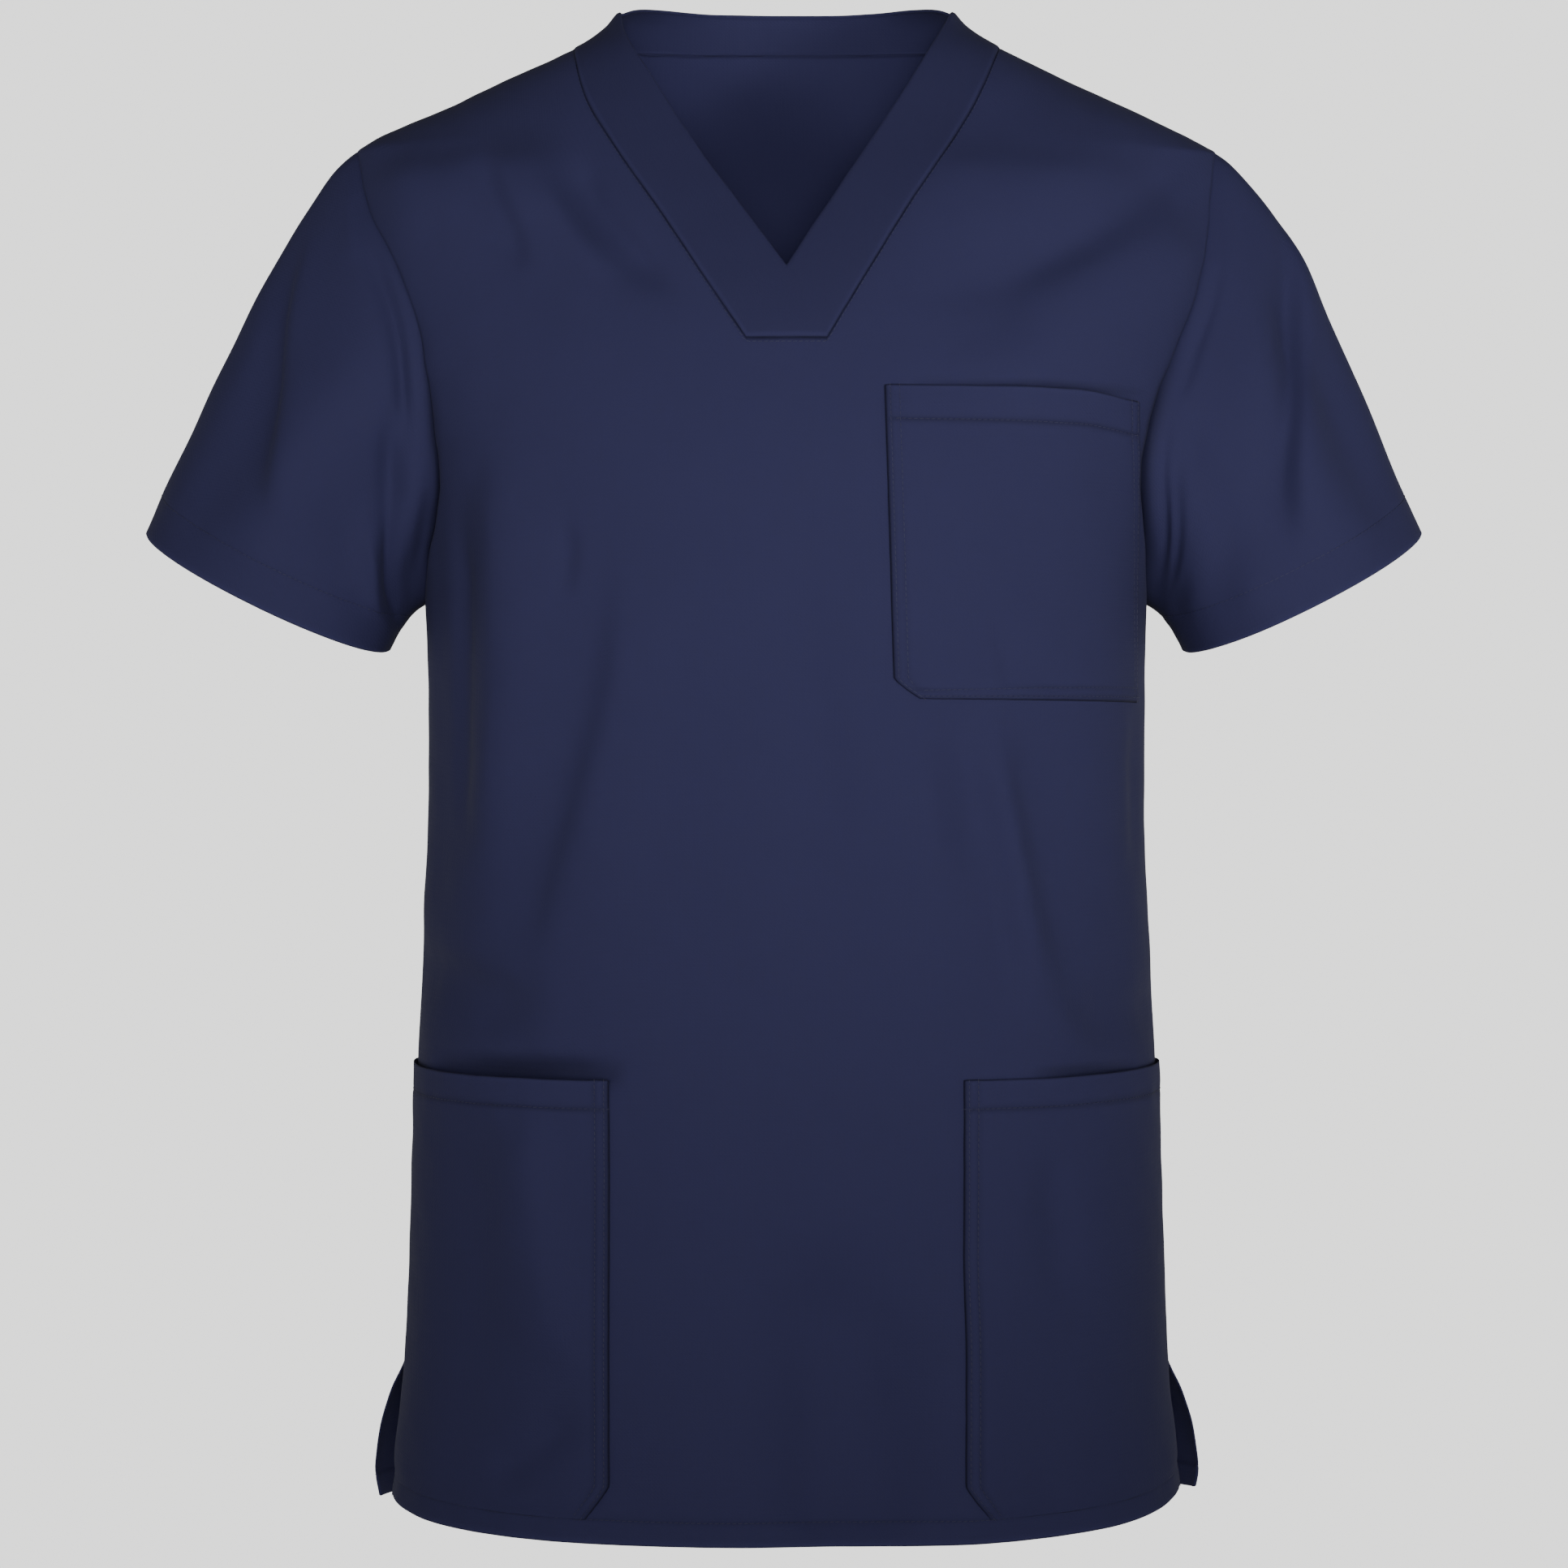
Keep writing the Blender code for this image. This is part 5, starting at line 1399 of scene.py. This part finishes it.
# Soft boxes with grids: place, what each looks at, size, power in watts, spread of the beam.
SoftBox = namedtuple("SoftBox", "name place target size power spread")
SOFT_BOXES = [
    SoftBox("key_box", (1.1, -2.4, -0.75), (0.00, -0.1, -0.19), 0.6, 0.66, 52.0),
    SoftBox("fill_box", (-1.1, -2.4, -0.60), (-0.08, -0.1, -0.19), 0.6, 0.64, 52.0),
    SoftBox("lens_box", (0.05, -2.6, -0.24), (-0.01, -0.1, -0.18), 0.5, 1.62, 44.0),
    SoftBox("sleeve_box", (1.7, -1.9, -0.35), (0.33, -0.05, -0.22), 0.6, 0.42, 24.0),
]


class SCRUB_OT_studio(bpy.types.Operator):
    """Set up the floor, the ground behind, the soft boxes and the camera"""
    bl_idname = "scrub.studio"
    bl_label = "Studio"

    def execute(self, context):
        camera = bpy.data.cameras.new("camera")
        camera.sensor_width = SENSOR
        camera.lens = SENSOR * -CAMERA_PLACE[1] / CAMERA_VIEW
        camera.clip_start, camera.clip_end = 0.1, 30.0
        eye = context.scene.camera = add_object("camera", camera)
        eye.location = CAMERA_PLACE
        eye.rotation_euler = (math.pi / 2, 0.0, 0.0)
        for box in SOFT_BOXES:
            light = bpy.data.lights.new(box.name, "AREA")
            light.shape = "SQUARE"
            light.size, light.energy, light.spread = box.size, box.power, math.radians(box.spread)
            lamp = add_object(box.name, light)
            lamp.location = box.place
            look = Vector(box.target) - lamp.location
            lamp.rotation_euler = look.to_track_quat("-Z", "Y").to_euler()
        colours = settings()[1]
        studio_floor(linear(colours.floor))
        studio_ground((*linear(colours.ground), 1.0))
        return {"FINISHED"}


def studio_floor(base):
    """A round pale floor, well below the top. It throws little light up at the cloth."""
    turns = np.arange(96) * 2 * math.pi / 96
    mesh = bpy.data.meshes.new("studio_floor")
    mesh.from_pydata([(math.cos(turn) * FLOOR_RADIUS, math.sin(turn) * FLOOR_RADIUS, FLOOR_HEIGHT)
                      for turn in turns], [], [list(range(96))])
    material, tree, shader = new_material("painted_studio_floor", base, {
        "Roughness": 0.8, "Emission Color": (*base, 1.0)})
    colour = blend(tree, noise(tree, 3.0, 4.0), tinted(base, 0.97), tinted(base, 1.03))
    tree.links.new(colour, shader.inputs["Base Color"])
    seen = add_node(tree, "ShaderNodeLightPath").outputs["Is Camera Ray"]
    tree.links.new(maths(tree, "MULTIPLY", seen, FLOOR_GLOW), shader.inputs["Emission Strength"])
    mesh.materials.append(material)
    add_object("studio_floor", mesh)


def studio_ground(base):
    """The plain pale ground all round. It is seen at its own colour but lights the cloth less, as
    a ground lit from behind would, and the ceiling over it is dark."""
    world = bpy.context.scene.world = bpy.data.worlds.new("studio_ground")
    world.use_nodes = True
    tree = world.node_tree
    tree.nodes.clear()
    way = add_node(tree, "ShaderNodeSeparateXYZ",
                   {"Vector": add_node(tree, "ShaderNodeTexCoord").outputs["Generated"]})
    light = add_node(tree, "ShaderNodeMapRange",
                     {"Value": way.outputs["Z"], "From Min": -0.15, "From Max": 0.45,
                      "To Min": GROUND_LIGHT, "To Max": CEILING_LIGHT}).outputs["Result"]
    lit, seen = (add_node(tree, "ShaderNodeBackground", {"Color": base, "Strength": strength})
                 for strength in (light, GROUND_SEEN))
    ray = add_node(tree, "ShaderNodeLightPath")
    both = add_node(tree, "ShaderNodeMixShader", {0: ray.outputs["Is Camera Ray"],
                                                  1: lit.outputs[0], 2: seen.outputs[0]})
    add_node(tree, "ShaderNodeOutputWorld", {"Surface": both.outputs[0]})


# ================================================================ panel and registration
class SCRUB_PT_top(bpy.types.Panel):
    """Makes the scrub top, piece by piece"""
    bl_idname = "SCRUB_PT_top"
    bl_label = "Scrub top"
    bl_space_type = "VIEW_3D"
    bl_region_type = "UI"
    bl_category = "Scrub top"

    def draw(self, context):
        for group in settings():
            box = self.layout.box()
            for name in group.bl_rna.properties.keys():
                if name not in ("rna_type", "name"):
                    box.prop(group, name)
        for operator in OPERATORS:
            self.layout.operator(operator.bl_idname)


OPERATORS = (SCRUB_OT_body_panels, SCRUB_OT_neckband, SCRUB_OT_pockets, SCRUB_OT_sleeves,
             SCRUB_OT_topstitching, SCRUB_OT_studio)
CLASSES = (ScrubSizes, ScrubColours, *OPERATORS, SCRUB_PT_top)


def register():
    for cls in CLASSES:
        bpy.utils.register_class(cls)
    bpy.types.Scene.scrub_sizes = bpy.props.PointerProperty(type=ScrubSizes)
    bpy.types.Scene.scrub_colours = bpy.props.PointerProperty(type=ScrubColours)


def unregister():
    del bpy.types.Scene.scrub_colours
    del bpy.types.Scene.scrub_sizes
    for cls in reversed(CLASSES):
        bpy.utils.unregister_class(cls)


def main():
    register()
    bpy.ops.scrub.body_panels()
    bpy.ops.scrub.neckband()
    bpy.ops.scrub.pockets()
    bpy.ops.scrub.sleeves()
    bpy.ops.scrub.topstitching()
    bpy.ops.scrub.studio()


if __name__ == "__main__":
    main()
